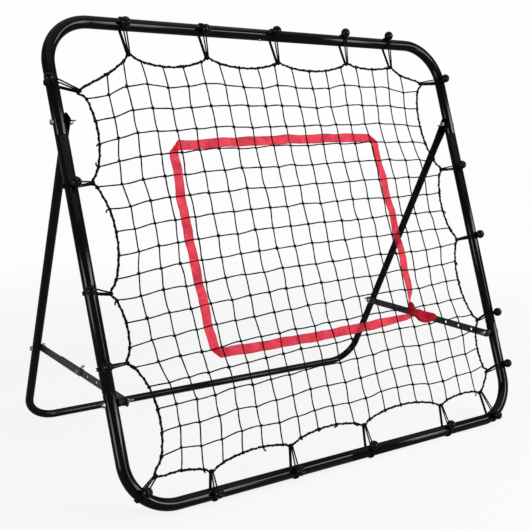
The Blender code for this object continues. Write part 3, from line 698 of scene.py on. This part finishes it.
def thread(low, high, pitch=0.001):
    """Profile points of a screw thread between two heights."""
    points = []
    z = low
    while z < high - pitch:
        points += [(BOLT_R - THREAD_DEPTH, z), (BOLT_R, z + pitch * 0.4), (BOLT_R, z + pitch * 0.6)]
        z += pitch
    return points + [(BOLT_R - THREAD_DEPTH, z), (BOLT_R - 2 * THREAD_DEPTH, high)]


def bolt(seat, tip, thread_from, head=True):
    """A hexagon bolt along Z with a flanged head, or only its threaded end."""
    start = seat - 0.0005 if head else seat
    profile = [(0, start), (BOLT_R, start)]
    profile += [(BOLT_R, thread_from)] if thread_from > seat + 0.001 else []
    skin = Skin(lathe(profile + thread(thread_from, tip) + [(0, tip)], 20))
    if head:
        def hexagon(turn, radius, z):
            flat = HEAD_R * cos(pi / 6) * 0.97
            local = (turn + pi / 6) % (pi / 3) - pi / 6
            if z > seat - 0.0009:
                return np.ones_like(turn)
            return np.minimum(flat / np.cos(local), radius) / radius
        skin.add(lathe([(0, seat), (HEAD_R, seat), (HEAD_R, seat - 0.0007), (HEAD_R * 0.985, seat - 0.0009),
                        (HEAD_R * 0.98, seat - 0.00095), (HEAD_R * 0.98, seat - HEAD_H + 0.0009),
                        (HEAD_R * 0.86, seat - HEAD_H + 0.0001), (HEAD_R * 0.8, seat - HEAD_H),
                        (HEAD_R * 0.5, seat - HEAD_H), (HEAD_R * 0.42, seat - HEAD_H + 0.0003),
                        (0, seat - HEAD_H + 0.0003)][::-1], 48, hexagon))
    return skin


def wing_nut():
    """A pressed wing nut with its seat at zero and its ears in the XZ plane."""
    hub = [(HOLE_R, 0.0), (NUT_HUB_R * 0.94, 0.0), (NUT_HUB_R, 0.0004), (NUT_HUB_R * 0.98, 0.0016),
           (NUT_HUB_R * 0.86, NUT_HUB_H * 0.55), (NUT_HUB_R * 0.83, NUT_HUB_H - 0.0004),
           (NUT_HUB_R * 0.76, NUT_HUB_H), (HOLE_R * 1.05, NUT_HUB_H), (HOLE_R * 0.93, NUT_HUB_H - 0.0004),
           (HOLE_R * 0.93, 0.0004)]
    skin = Skin(lathe(hub, 36))
    root = NUT_HUB_R * 0.72
    ear_shape = [(0.86, 0.40), (0.985, 0.66), (0.95, 0.9), (0.8, 0.985), (0.62, 0.86)]
    outline = [(root, 0, 0.0010), (NUT_HUB_R * 1.15, 0, 0.0016)]
    outline += [(NUT_SPAN * x, 0, NUT_WING_H * z) for x, z in ear_shape]
    outline += [(NUT_HUB_R * 0.98, 0, NUT_HUB_H * 0.78), (root, 0, NUT_HUB_H * 0.9)]
    outline = smooth_path(outline, 0.0011)
    for side in (1, -1):
        ear = bmesh.new()
        edge = [ear.verts.new((side * x, -NUT_WING_THICK / 2, z)) for x, _, z in outline]
        face = ear.faces.new(edge)
        grown = bmesh.ops.extrude_face_region(ear, geom=[face])
        moved = [item for item in grown["geom"] if isinstance(item, bmesh.types.BMVert)]
        bmesh.ops.translate(ear, verts=moved, vec=(0, NUT_WING_THICK, 0))
        bmesh.ops.recalc_face_normals(ear, faces=ear.faces)
        rims = [e for e in ear.edges if any(len(f.verts) > 4 for f in e.link_faces)]
        bmesh.ops.bevel(ear, geom=rims, offset=0.00055, segments=3, profile=0.5, affect="EDGES")
        for vertex in ear.verts:
            vertex.co.y *= 1.0 - 0.22 * min(1.0, max(0.0, vertex.co.z / NUT_WING_H))
        ear.verts.index_update()
        verts = [tuple(v.co) for v in ear.verts]
        faces = [tuple(v.index for v in f.verts) for f in ear.faces]
        skin.add((verts, faces, [(verts[i][0], verts[i][2]) for f in faces for i in f]))
        ear.free()
    return skin


def plate(outlines, thickness, edge=0.0004):
    """A flat plate in XY with eased edges, from its outline and holes."""
    curve = bpy.data.curves.new("plate", "CURVE")
    curve.dimensions = "2D"
    curve.fill_mode = "BOTH"
    curve.extrude = thickness / 2 - edge
    curve.bevel_depth = edge
    curve.bevel_resolution = 2
    curve.offset = -edge
    for outline in outlines:
        spline = curve.splines.new("POLY")
        spline.points.add(len(outline) - 1)
        for point, (x, y) in zip(spline.points, outline):
            point.co = (x, y, 0, 1)
        spline.use_cyclic_u = True
    mesh = baked(linked("plate", curve))
    mesh.shade_smooth()
    mesh.set_sharp_from_angle(angle=radians(40))
    return mesh


def arc(centre, radius, start, end, steps):
    angles = [start + (end - start) * k / steps for k in range(steps + 1)]
    return [(centre + radius * cos(a), radius * sin(a)) for a in angles]


def bar(start, end, holes):
    half = BAR_WIDTH / 2
    edge = arc(end - half, half, -pi / 2, pi / 2, 20)
    edge += arc(start + half, half, pi / 2, 3 * pi / 2, 20)
    rims = [arc(hole, HOLE_R, 0, 2 * pi * 27 / 28, 27) for hole in holes]
    return plate([edge] + rims, BAR_THICK)


def add_hardware(side, word):
    """Bolts, spacer, wing nuts and strut bars of one side."""
    inward = inward_x(side)
    edge = side * HALF_W
    at = {
        "pivot": FRONT @ Matrix.Translation((edge, PIVOT_UP, 0)) @ inward,
        "strut_front": FRONT @ Matrix.Translation((edge, STRUT_UP, 0)) @ inward,
        "strut_rear": REAR @ Matrix.Translation((edge, STRUT_DOWN, 0)) @ inward,
        "knee": Matrix.Translation((edge, STRUT.y + KNEE_HOLE * HOLE_PITCH, STRUT.z)) @ inward,
    }
    tube_head = -TUBE_R - GAP
    seats = {"pivot": PIVOT_NUT_AT, "strut_front": FRONT_NUT_AT, "strut_rear": FRONT_BAR_AT,
             "knee": FRONT_NUT_AT}
    parts = {
        "pivot_bolt_": bolt(tube_head, PIVOT_NUT_AT + BOLT_TAIL, PIVOT_NUT_AT - 0.001),
        "strut_front_bolt_": bolt(tube_head, FRONT_NUT_AT + BOLT_TAIL, FRONT_NUT_AT - 0.001),
        "strut_rear_bolt_": bolt(LEG_HEAD_AT, FRONT_BAR_AT + BOLT_TAIL, FRONT_BAR_AT - 0.001),
        "knee_bolt_": bolt(REAR_BAR_AT - GAP, REAR_BAR_AT + BAR_THICK, REAR_BAR_AT - 0.0005),
        "knee_bolt_tip_": bolt(FRONT_BAR_AT, FRONT_NUT_AT + BOLT_TAIL, FRONT_BAR_AT, False),
    }
    for key, skin in parts.items():
        where = next(at[name] for name in at if key.startswith(name))
        stand_in(key + word, mesh_of(skin, key + word, 30), where, ZINC)
    for name, seat in seats.items():
        mesh = mesh_of(wing_nut(), name + "_nut_" + word, 35)
        place = at[name] @ Matrix.Translation((0, 0, seat))
        stand_in(name + "_wing_nut_" + word, mesh, place, ZINC)
    low, high = TUBE_R + GAP, FRONT_BAR_AT - GAP
    rib = [(SPACER_WAIST, 0), (SPACER_R, 0.0006), (SPACER_R, 0.0042), (SPACER_WAIST, 0.0048)]
    bush = [(HOLE_R, low)] + [(radius, low + z) for radius, z in rib]
    bush += [(radius, high - z) for radius, z in rib[::-1]] + [(HOLE_R, high)]
    mesh = mesh_of(Skin(lathe(bush, 40)), "bush", 30)
    stand_in("strut_spacer_" + word, mesh, at["strut_front"], SPACER)
    upright = Matrix(((0, 0, 1, 0), (1, 0, 0, 0), (0, 1, 0, 0), (0, 0, 0, 1)))
    holes = [k * HOLE_PITCH for k in range(HOLE_COUNT)]
    knee_back = KNEE_HOLE * HOLE_PITCH - (REAR_STRUT.y - STRUT.y)
    bars = {
        "strut_front_bar_": (bar(-BAR_END, holes[-1] + BAR_END, holes), STRUT, FRONT_BAR_AT),
        "strut_rear_bar_": (bar(knee_back - BAR_END, BAR_END, [knee_back, 0]), REAR_STRUT, REAR_BAR_AT),
    }
    for key, (mesh, pivot, inboard) in bars.items():
        offset = Matrix.Translation((edge - side * (inboard + BAR_THICK / 2), pivot.y, pivot.z))
        stand_in(key + word, mesh, offset @ upright, BLACK_BAR)


# ---- net

def relax_net():
    """Where every knot of the net settles between its elastics, in (x, up the frame).

    The edge cord is one loop with a knot at every mesh and a point where each elastic holds it. Cords only
    pull: the meshes are a little stretched, and the stiffer edge cord sags into scallops between elastics.
    """
    total = 2 * (COLUMNS + ROWS)
    places, points = {}, []

    def node(i, j):
        places[(i, j)] = len(points)
        points.append((-NET_HALF_W + 2 * NET_HALF_W * i / COLUMNS, NET_TOP - NET_DROP * j / ROWS))

    for i in range(1, COLUMNS):
        for j in range(1, ROWS):
            node(i, j)
    loop = []
    for t in range(total):
        i = min(t, COLUMNS, max(0, 2 * COLUMNS + ROWS - t))
        j = min(max(0, t - COLUMNS), ROWS, total - t)
        if i in (0, COLUMNS) and j in (0, ROWS):
            continue
        node(i, j)
        loop.append((t, (i, j)))
    fixed = []
    for k, (_, _, _, corner, t) in enumerate(BUNGEES):
        fixed.append(len(points))
        places[("held", k)] = len(points)
        points.append(corner)
        loop.append((t, ("held", k)))
    loop.sort(key=lambda item: item[0])
    ties, rest, stiff = [], [], []
    for (t0, a), (t1, b) in zip(loop, loop[1:] + loop[:1]):
        share = (t1 - t0) % total
        ties.append((places[a], places[b]))
        rest.append(share * MESH * EDGE_REST)
        stiff.append(EDGE_STIFFNESS / max(share, 0.2))
    for i in range(COLUMNS + 1):
        for j in range(ROWS + 1):
            for other, inside in (((i + 1, j), 1 <= j < ROWS), ((i, j + 1), 1 <= i < COLUMNS)):
                if inside and (i, j) in places and other in places:
                    ties.append((places[(i, j)], places[other]))
                    rest.append(MESH * MESH_REST)
                    stiff.append(1)
    ties, rest, stiff, p = np.array(ties), np.array(rest), np.array(stiff, float), np.array(points, float)
    firm = np.zeros(len(p))
    np.add.at(firm, ties[:, 0], stiff)
    np.add.at(firm, ties[:, 1], stiff)
    for _ in range(SETTLING_STEPS):
        span = p[ties[:, 1]] - p[ties[:, 0]]
        length = np.linalg.norm(span, axis=1)
        pull = (stiff * np.maximum(length - rest, 0) / length)[:, None] * span
        move = np.zeros_like(p)
        np.add.at(move, ties[:, 0], pull)
        np.add.at(move, ties[:, 1], -pull)
        move[fixed] = 0
        p += move * (SETTLING_RATE / firm)[:, None]
    return p, places, loop


def lump(scale, radius, seed_turn):
    """A small overhand knot as a closed cord about the origin."""
    t = np.linspace(0, 2 * pi, 25)[:-1]
    points = np.stack([np.sin(t) + 2 * np.sin(2 * t), np.cos(t) - 2 * np.cos(2 * t), -0.8 * np.sin(3 * t)], 1)
    points *= scale / 3
    c, s = cos(seed_turn), sin(seed_turn)
    points = points @ np.array([[c, -s, 0], [s, c, 0], [0, 0, 1]]).T
    return cord(points, radius, 5, True)


def net_depth(x, up):
    """How far the net's sag puts it in front of its edges' plane, below zero behind it."""
    bow = np.clip(1 - (x / SAG_HALF_W) ** 2, 0, 1) * np.clip(1 - ((up - SAG_MIDDLE) / SAG_HALF_H) ** 2, 0, 1)
    return -SAG * bow


def add_net():
    flat, places, loop = relax_net()
    spots = np.column_stack([flat, net_depth(flat[:, 0], flat[:, 1])])
    loose = np.arange((COLUMNS - 1) * (ROWS - 1))      # the knots inside the edge, which come first
    spots[loose] += rng.normal(0, 1, (len(loose), 3)) * KNOT_WANDER
    net, knots = Skin(), Skin()
    lines = [[places[(i, j)] for j in range(ROWS + 1)] for i in range(1, COLUMNS)]
    lines += [[places[(i, j)] for i in range(COLUMNS + 1)] for j in range(1, ROWS)]
    for line in lines:
        path = []
        for a, b in zip(line[:-1], line[1:]):
            bow = rng.normal(0, CORD_BOW, 3)
            # the cords leave a knot at different corners
            slip = np.array((0.0007, -0.0009, 0.0)) * (1 if b > a else -1)
            start, end = spots[a] + slip, spots[b] - slip
            for k in range(6):
                t = k / 6
                path.append(start + (end - start) * t + bow * sin(pi * t))
        path.append(spots[line[-1]])
        net.add(cord(path, NET_R * (1 + 0.06 * rng.standard_normal(len(path))), 7))
    size, thick = MESH_KNOT
    for index in loose:
        knot = lump(size * (1 + 0.12 * rng.standard_normal()), thick, rng.uniform(0, 6.28))
        knots.add(knot, Matrix.Translation(spots[index]))
    edge_points = [spots[places[key]] for _, key in loop]
    route = smooth_path(edge_points, 0.0016, True)
    lengths = run_of(route)
    route = route + rng.normal(0, 0.00008, route.shape)
    swell = 1 + 0.09 * np.sin(lengths * 173) + 0.07 * np.sin(lengths * 61 + 1.3)
    rim = Skin(cord(route, BORDER_R * 0.92 * swell, 12, True, 3, 0.16, 0.013))
    _, across, other = directions(route, True)
    turn = lengths * 2 * pi / WHIPPING_PITCH + 0.7 * np.sin(lengths * 31)
    whip = route + (np.cos(turn)[:, None] * across + np.sin(turn)[:, None] * other) * (BORDER_R * 1.05)
    rim.add(cord(whip, WHIPPING_R, 5, True))
    size, thick = EDGE_KNOT
    ends = []
    for spot in [spots[places[key]] for _, key in loop if key[0] != "held"]:
        knot = lump(size * (1 + 0.15 * rng.standard_normal()), thick, rng.uniform(0, 6.28))
        rim.add(knot, Matrix.Translation(spot))
        if rng.random() < LOOSE_END_SHARE:
            ends.append(spot)
    for spot in ends:
        out = spot[:2] - np.array((0.0, NET_MIDDLE))
        out /= np.linalg.norm(out)
        out = np.array((*out, 0.0))
        side = np.array((-out[1], out[0], 0.0)) * rng.choice((-1, 1))
        reach = rng.uniform(0.005, 0.009)
        tail = [spot, spot + out * reach * 0.6 + side * reach * 0.4, spot + out * reach * 0.8 + side * reach]
        rim.add(cord(smooth_path(tail, 0.0015), LOOSE_END_R, 7))
    for skin, name, look, nodes in ((net, "net_cords", NET_CORD, ["net"]), (knots, "net_knots", NET_CORD, []),
                                    (rim, "net_edge_cord", EDGE_CORD, [])):
        front_piece(name, mesh_of(skin, name, 80), look, nodes)
    return spots, places


# ---- elastics

def crossing(edge, position):
    """The point of the frame's centre line at a position along an edge, and its outward direction."""
    level = edge in ("top", "bottom")
    sign = 1 if edge in ("top", "right") else -1
    spans = [(CORNER_R - HALF_W, HALF_W - CORNER_R), (CORNER_R, FRAME_H - CORNER_R)]
    here, other = spans if level else spans[::-1]
    straight = max(here[0], min(here[1], position))
    lean = (position - straight) / CORNER_R
    centre = (straight, other[sign > 0])
    outward = (lean, sign * sqrt(1 - lean * lean))
    order = slice(None) if level else slice(None, None, -1)
    centre, outward = np.array((*centre[order], 0)), np.array((*outward[order], 0))
    return centre + outward * CORNER_R, outward


def add_bungee(name, edge, position, angle, corner):
    """A ball on a doubled elastic: behind and round the tube, through the net's edge and back to the ball."""
    centre, outward = crossing(edge, position)
    along = np.array((-outward[1], outward[0], 0.0))
    front = np.array((0.0, 0.0, 1.0))
    offset = np.array((*corner, 0.0)) - centre
    reach, slide = -offset.dot(outward), offset.dot(along)
    near = acos(LOOP_R / BALL_OUT) * 0.8
    far = pi - acos(LOOP_R / reach)
    hook_r = BORDER_R + ELASTIC_R + 0.0002

    def spot(out, ahead, shift):
        return centre + outward * out + front * ahead + along * shift

    def round_tube(turn, shift):
        return spot(LOOP_R * cos(turn), LOOP_R * sin(turn), shift)

    ball_out, ball_ahead = BALL_OUT * cos(angle), BALL_OUT * sin(angle)
    skin = Skin()
    for side in (-1, 1):
        gap = side * ELASTIC_R * 1.06
        spread = side * STRAND_SPREAD
        route = [spot(ball_out * 0.86, ball_ahead * 0.86, gap * 1.6)]
        start, end = angle - near, -far
        count = max(6, int((start - end) / 0.16))
        for k in range(count + 1):
            ease = k / count
            shift = gap * (1.25 - 0.25 * ease) + slide * EARLY_SLIDE * ease
            route.append(round_tube(start + (end - start) * k / count, shift))
        back_end = np.array((-reach, -hook_r))
        leave = np.array((LOOP_R * cos(end), LOOP_R * sin(end)))
        for k in range(1, 6):
            t = k / 6
            out, ahead = leave + (back_end - leave) * t
            route.append(spot(out, ahead, gap + slide * (EARLY_SLIDE + (1 - EARLY_SLIDE) * t)))
        for k in range(9):
            turn = -pi / 2 - pi * k / 8
            out, ahead = -reach + hook_r * cos(turn), hook_r * sin(turn)
            route.append(spot(out, ahead, gap * (1 - k / 8 * 0.1) + slide))
        land = np.array((LOOP_R * cos(far), LOOP_R * sin(far)))
        top = np.array((-reach, hook_r))
        for k in range(1, 7):
            t = k / 7
            out, ahead = top + (land - top) * t
            route.append(spot(out, ahead, gap * 0.9 * (1 - t) + spread * t + slide * (1 - t)))
        stop = angle + near
        for k in range(7 if far > stop else 0):
            route.append(round_tube(far + (stop - far) * k / 6, spread * (1 - 0.35 * k / 6)))
        route.append(spot(ball_out * 0.8, ball_ahead * 0.8, spread * 0.5))
        skin.add(cord(smooth_path(route, 0.0022), ELASTIC_R, 9))
    front_piece(name + "_elastic", mesh_of(skin, name, 80), ELASTIC)
    r = BALL_R
    lower, upper = [[(r * cos(a), r * sin(a)) for a in np.radians(np.arange(*turns, 8.0))]
                    for turns in ((-68, -3), (4, 70))]
    profile = [(0, -r * 0.86), (r * 0.24, -r * 0.86), (r * 0.30, -r * 0.93)] + lower
    profile += [(r * 1.0, -0.00028), (r * 0.984, 0.0), (r * 1.0, 0.00028)] + upper
    profile += [(r * 0.32, r * 0.93), (r * 0.25, r * 0.90), (r * 0.22, r * 0.6), (0, r * 0.6)]
    direction = Vector(outward * cos(angle) + front * sin(angle))
    turn = direction.to_track_quat("Z", "Y").to_matrix().to_4x4()
    ball = mesh_of(Skin(lathe(profile, 36)), name + "_ball", 50)
    ball.transform(Matrix.Translation(spot(ball_out, ball_ahead, 0)) @ turn)
    front_piece(name + "_ball", ball, BALL, [name])


# ---- ribbon

def cord_crossings(spots, places, path):
    """Where the net's cords cross a strap's middle line, as shares of its length."""
    grid = np.array([[spots[places[(i, j)]][:2] for j in range(1, ROWS)] for i in range(1, COLUMNS)])
    level = abs(path[-1][0] - path[0][0]) > abs(path[-1][1] - path[0][1])
    shares = run_of(path) / run_of(path)[-1]
    order = np.argsort(path[:, 0] if level else path[:, 1])
    found = []
    for line in (grid if level else grid.transpose(1, 0, 2)):
        along, across = (line[:, 0], line[:, 1]) if level else (line[:, 1], line[:, 0])
        here = path[order]
        key, other = (here[:, 0], here[:, 1]) if level else (here[:, 1], here[:, 0])
        gap = across - np.interp(along, key, other)
        for k in range(len(line) - 1):
            if gap[k] * gap[k + 1] <= 0 and gap[k] != gap[k + 1]:
                spot = along[k] + (along[k + 1] - along[k]) * gap[k] / (gap[k] - gap[k + 1])
                if key[0] < spot < key[-1]:
                    found.append(float(np.interp(spot, key, shares[order])))
    return sorted(found)


def tape_rows(spots, places, points, side, folds, behind_first, widths):
    """Rows along one strap, woven through the cords. Folds turn right, so the outer edge is the left one.

    side is 1 where the tape's first edge is the left one, folds says which ends are folded at a corner,
    behind_first whether the strap passes behind the first cord, and widths gives its width at shares of it.
    """
    path = smooth_path([(*point, 0.0) for point in points], 0.004)
    along, _, _ = directions(path)
    lengths = run_of(path)
    total = lengths[-1]
    marks = cord_crossings(spots, places, path[:, :2])
    signs = [(-1) ** (k + behind_first) for k in range(len(marks))]
    stops = np.array([-0.03] + marks + [1.03])
    weave = np.array([1.0] + signs + [1.0])
    rows = []
    for k, (middle, ahead) in enumerate(zip(path, along)):
        share = lengths[k] / total
        left = np.array((-ahead[1], ahead[0], 0.0))
        half = TAPE_WIDTH / 2 * np.interp(share, *widths) * (1 + 0.03 * sin(share * 37 + side))
        start = max(0.0, 1 - lengths[k] / FOLD_LENGTH) * folds[0]
        end = max(0.0, 1 - (total - lengths[k]) / FOLD_LENGTH) * folds[1]
        slant = ahead * TAPE_WIDTH / 2 * (start - end)
        lift = TAPE_LIFT * sin(np.interp(share, stops, weave) * pi / 2)
        lift += net_depth(middle[0], middle[1])
        lift += 0.0005 * start - 0.0004 * end
        wander = left * (0.0005 * sin(share * 23 + side * 2) + 0.0004 * sin(share * 61))
        centre = middle + wander + (0, 0, lift)
        edges = (centre + left * half + slant, centre - left * half - slant)
        rows.append(edges if side > 0 else edges[::-1])
    return rows


def ribbon_rows(spots, places):
    """The target: one tape from its knot along the bottom, up, across and down, folded at three corners."""
    low_left, top_left, top_right = (-0.2745, 0.2710), (-0.2785, 0.7065), (0.2490, 0.7227)
    full = ([0, 1], [1, 1])
    straps = [
        ([(0.254, 0.2850), (0.240, 0.2826), (0.184, 0.2788), (0.039, 0.2730), (-0.120, 0.2710), low_left],
         1, (0, 1), 1, ([0, 0.035, 0.09, 0.2, 1], [0.5, 0.7, 0.84, 1, 1])),
        ([low_left, (-0.2789, 0.380), (-0.2830, 0.520), (-0.2829, 0.600), top_left], -1, (1, 1), 0, full),
        ([top_left, (-0.2196, 0.7112), (-0.0972, 0.7167), (0.0348, 0.7207), (0.1484, 0.7227), top_right],
         1, (1, 1), 0, full),
        ([top_right, (0.2549, 0.640), (0.2604, 0.545), (0.2645, 0.450), (0.2666, 0.360), (0.2600, 0.330),
          (0.2549, 0.312)], -1, (1, 0), 0, ([0, 0.84, 0.90, 0.94, 0.97, 1], [1, 1, 0.87, 0.62, 0.3, 0.12])),
    ]
    return [row for values in straps for row in tape_rows(spots, places, *values)]


def ribbon_mesh(rows, name, columns=7, pleat=0.0):
    """A tape of the given rows, with a little cross-wise crumple and, where pleated, ridges along it."""
    first = np.array([row[0] for row in rows])
    second = np.array([row[1] for row in rows])
    lengths = run_of((first + second) / 2)
    verts, uvs, faces = [], [], []
    for k in range(len(rows)):
        for c in range(columns + 1):
            t = c / columns
            crumple = 0.0006 * sin(pi * t) * sin(lengths[k] * 90)
            crumple += 0.0003 * sin(lengths[k] * 310 + t * 6) + pleat * sin(3 * pi * t)
            verts.append(first[k] * (1 - t) + second[k] * t + (0, 0, crumple))
            uvs.append(((t - 0.5) * TAPE_WIDTH, lengths[k]))
    for k in range(len(rows) - 1):
        for c in range(columns):
            a = k * (columns + 1) + c
            faces.append((a, a + 1, a + columns + 2, a + columns + 1))
    corner_uvs = [uvs[i] for face in faces for i in face]
    mesh = mesh_of(Skin((verts, faces, corner_uvs)), name, 70)
    return modified(mesh, "SOLIDIFY", thickness=TAPE_THICK, offset=0.0), lengths[-1]


def add_knot():
    """The knot at the tape's lower right corner, a wrapped and creased band, and its doubled tail."""
    axis = smooth_path([(0.2515, 0.3155, 0.0036), (0.2545, 0.3075, 0.0046), (0.2560, 0.2975, 0.0050),
                        (0.2558, 0.2880, 0.0044), (0.2530, 0.2800, 0.0032)], 0.001)
    share = np.linspace(0, 1, len(axis))
    swell = KNOT_HALF_WIDTH * np.sqrt(np.sin(pi * (0.02 + 0.96 * share)))
    verts, faces, uvs = cord(axis, swell, 42, False, 6, 0.11, 0.11)
    verts[:, 2] = KNOT_MIDDLE + (verts[:, 2] - KNOT_MIDDLE) * KNOT_FLATNESS
    mesh = mesh_of(Skin((verts, faces, uvs)), "knot", 80)
    extras = [front_piece("target_ribbon_knot", mesh, TAIL)]
    middle = smooth_path([(0.2575, 0.2915, 0), (0.2680, 0.2868, 0), (0.2790, 0.2808, 0), (0.2950, 0.2750, 0),
                          (0.3085, 0.2728, 0), (0.3190, 0.2722, 0), (0.3262, 0.2720, 0)], 0.0025)
    spread = np.interp(np.linspace(0, 1, len(middle)), [0, 0.16, 0.31, 0.55, 0.73, 0.9, 1],
                       [0.005, 0.0098, 0.0136, 0.0139, 0.0120, 0.0080, 0.0034])
    across = np.array((0.22, 0.975, 0.0))
    sheets = [(0.0036, (0, 0, 0), 1.0), (0.0020, (-0.0012, -0.0016, 0), 0.94)]
    for sheet, (lift, shift, grow) in enumerate(sheets):
        rows = []
        for k, point in enumerate(middle + np.array(shift)):
            height = (0, 0, lift + 0.0014 * sin(k * 0.28 + sheet))
            half = across * spread[k] * grow
            rows.append((point + half + height, point - half + height))
        mesh, _ = ribbon_mesh(rows, "tail", 12, pleat=0.0011)
        extras.append(front_piece("target_ribbon_tail_" + str(sheet + 1), mesh, TAIL))
    return extras


# ---- assembly

add_tubes()
for side_sign, side_word in ((-1, "left"), (1, "right")):
    add_hardware(side_sign, side_word)
spots, places = add_net()
counts = {}
for edge, position, degrees, corner, _ in BUNGEES:
    counts[edge] = counts.get(edge, 0) + 1
    add_bungee("bungee_" + edge + "_" + str(counts[edge]), edge, position, radians(degrees), corner)
tape, tape_length = ribbon_mesh(ribbon_rows(spots, places), "tape")
ribbon = front_piece("target_ribbon_tape", tape, RIBBON, ["target_ribbon"])
extras = add_knot()

# ---- floor, light and camera

FLOOR_R = 14
FADE_FROM = 0.9          # distances from the middle between which the floor turns white
FADE_TO = 2.6
CAMERA_ANGLES = (37.246, 13.135, 0.962)       # heading, tilt down and roll, in degrees
CAMERA_PLACE = (-1.1071, -1.7533, 0.7529)
CAMERA_LENS = 59.81
CAMERA_SHIFT = (-0.1537, 0.0977)


def add_floor():
    """A pale floor that fades to plain white away from the object, so that it has no horizon."""
    mesh = bpy.data.meshes.new("floor")
    shape = bmesh.new()
    bmesh.ops.create_circle(shape, cap_ends=True, segments=96, radius=FLOOR_R)
    shape.to_mesh(mesh)
    shape.free()
    look = Look("pale_floor", PALE, 0.85, Specular_IOR_Level=0.1, Emission_Color=WHITE)
    reach = add_node(look.tree, "VectorMath", {0: look.place.outputs["Object"]}, operation="LENGTH")
    far = look.remap(reach.outputs["Value"], FADE_FROM, FADE_TO, 0.86, 1.0)
    look.tint(far, [(0.0, PALE), (1.0, DARK)])
    glow = look.remap(seen_directly(look.tree), 0, 1, 0.2, 0.97)
    look.shade("Emission Strength", look.math("MULTIPLY", far, glow))
    mesh.materials.append(look.material)
    floor = linked("floor", mesh)
    floor.location.z = -0.0004


def add_strip(name, place, aim, size, radiance):
    """A soft box of the given size, in metres, that sends out the given radiance."""
    data = bpy.data.lights.new(name, "AREA")
    data.shape = "RECTANGLE"
    data.size, data.size_y = size
    data.energy = radiance * pi * size[0] * size[1]
    lamp = linked(name, data)
    lamp.location = place
    lamp.rotation_euler = (Vector(aim) - Vector(place)).to_track_quat("-Z", "Y").to_euler()


def add_world(seen, lighting):
    """White where the camera sees past the floor, and dimmer as light and in reflections."""
    world = bpy.data.worlds.new("studio")
    bpy.context.scene.world = world
    world.use_nodes = True
    tree = world.node_tree
    lit = tree.nodes["Background"]
    feed(tree, lit.inputs["Color"], WHITE)
    feed(tree, lit.inputs["Strength"], lighting)
    plain = add_node(tree, "Background", {"Color": WHITE, "Strength": seen})
    mix = add_node(tree, "MixShader", {0: seen_directly(tree), 1: lit.outputs[0], 2: plain.outputs[0]})
    feed(tree, tree.nodes["World Output"].inputs["Surface"], mix.outputs[0])


def add_camera():
    """The viewing angle: heading right of the net's normal, and looking down."""
    heading, down, roll = [radians(angle) for angle in CAMERA_ANGLES]
    look = Vector((sin(heading) * cos(down), cos(heading) * cos(down), -sin(down)))
    right = Vector((cos(heading), -sin(heading), 0))
    above = right.cross(look)
    x_axis = right * cos(roll) + above * sin(roll)
    y_axis = above * cos(roll) - right * sin(roll)
    turn = Matrix((x_axis, y_axis, -look)).transposed().to_4x4()
    data = bpy.data.cameras.new("camera")
    data.sensor_width = 36
    data.lens = CAMERA_LENS
    data.shift_x, data.shift_y = CAMERA_SHIFT
    camera = linked("camera", data)
    camera.matrix_world = Matrix.Translation(CAMERA_PLACE) @ turn
    bpy.context.scene.camera = camera


add_floor()
add_world(0.99, 0.16)
add_strip("overhead", (0, -0.3, 3.4), (0, -0.3, 0), (5, 5), 0.5)
add_strip("front_right", (1.35, -3.1, 1.1), (0, -0.2, 0.5), (0.7, 2.6), 7.5)
add_strip("left", (-3.3, -0.8, 0.6), (0, -0.2, 0.5), (1.5, 1.2), 8)
add_strip("front_high", (2.2, -2.7, 1.75), (0, -0.2, 0.5), (3.0, 0.7), 12)
bpy.context.scene.view_settings.view_transform = "Standard"
add_camera()
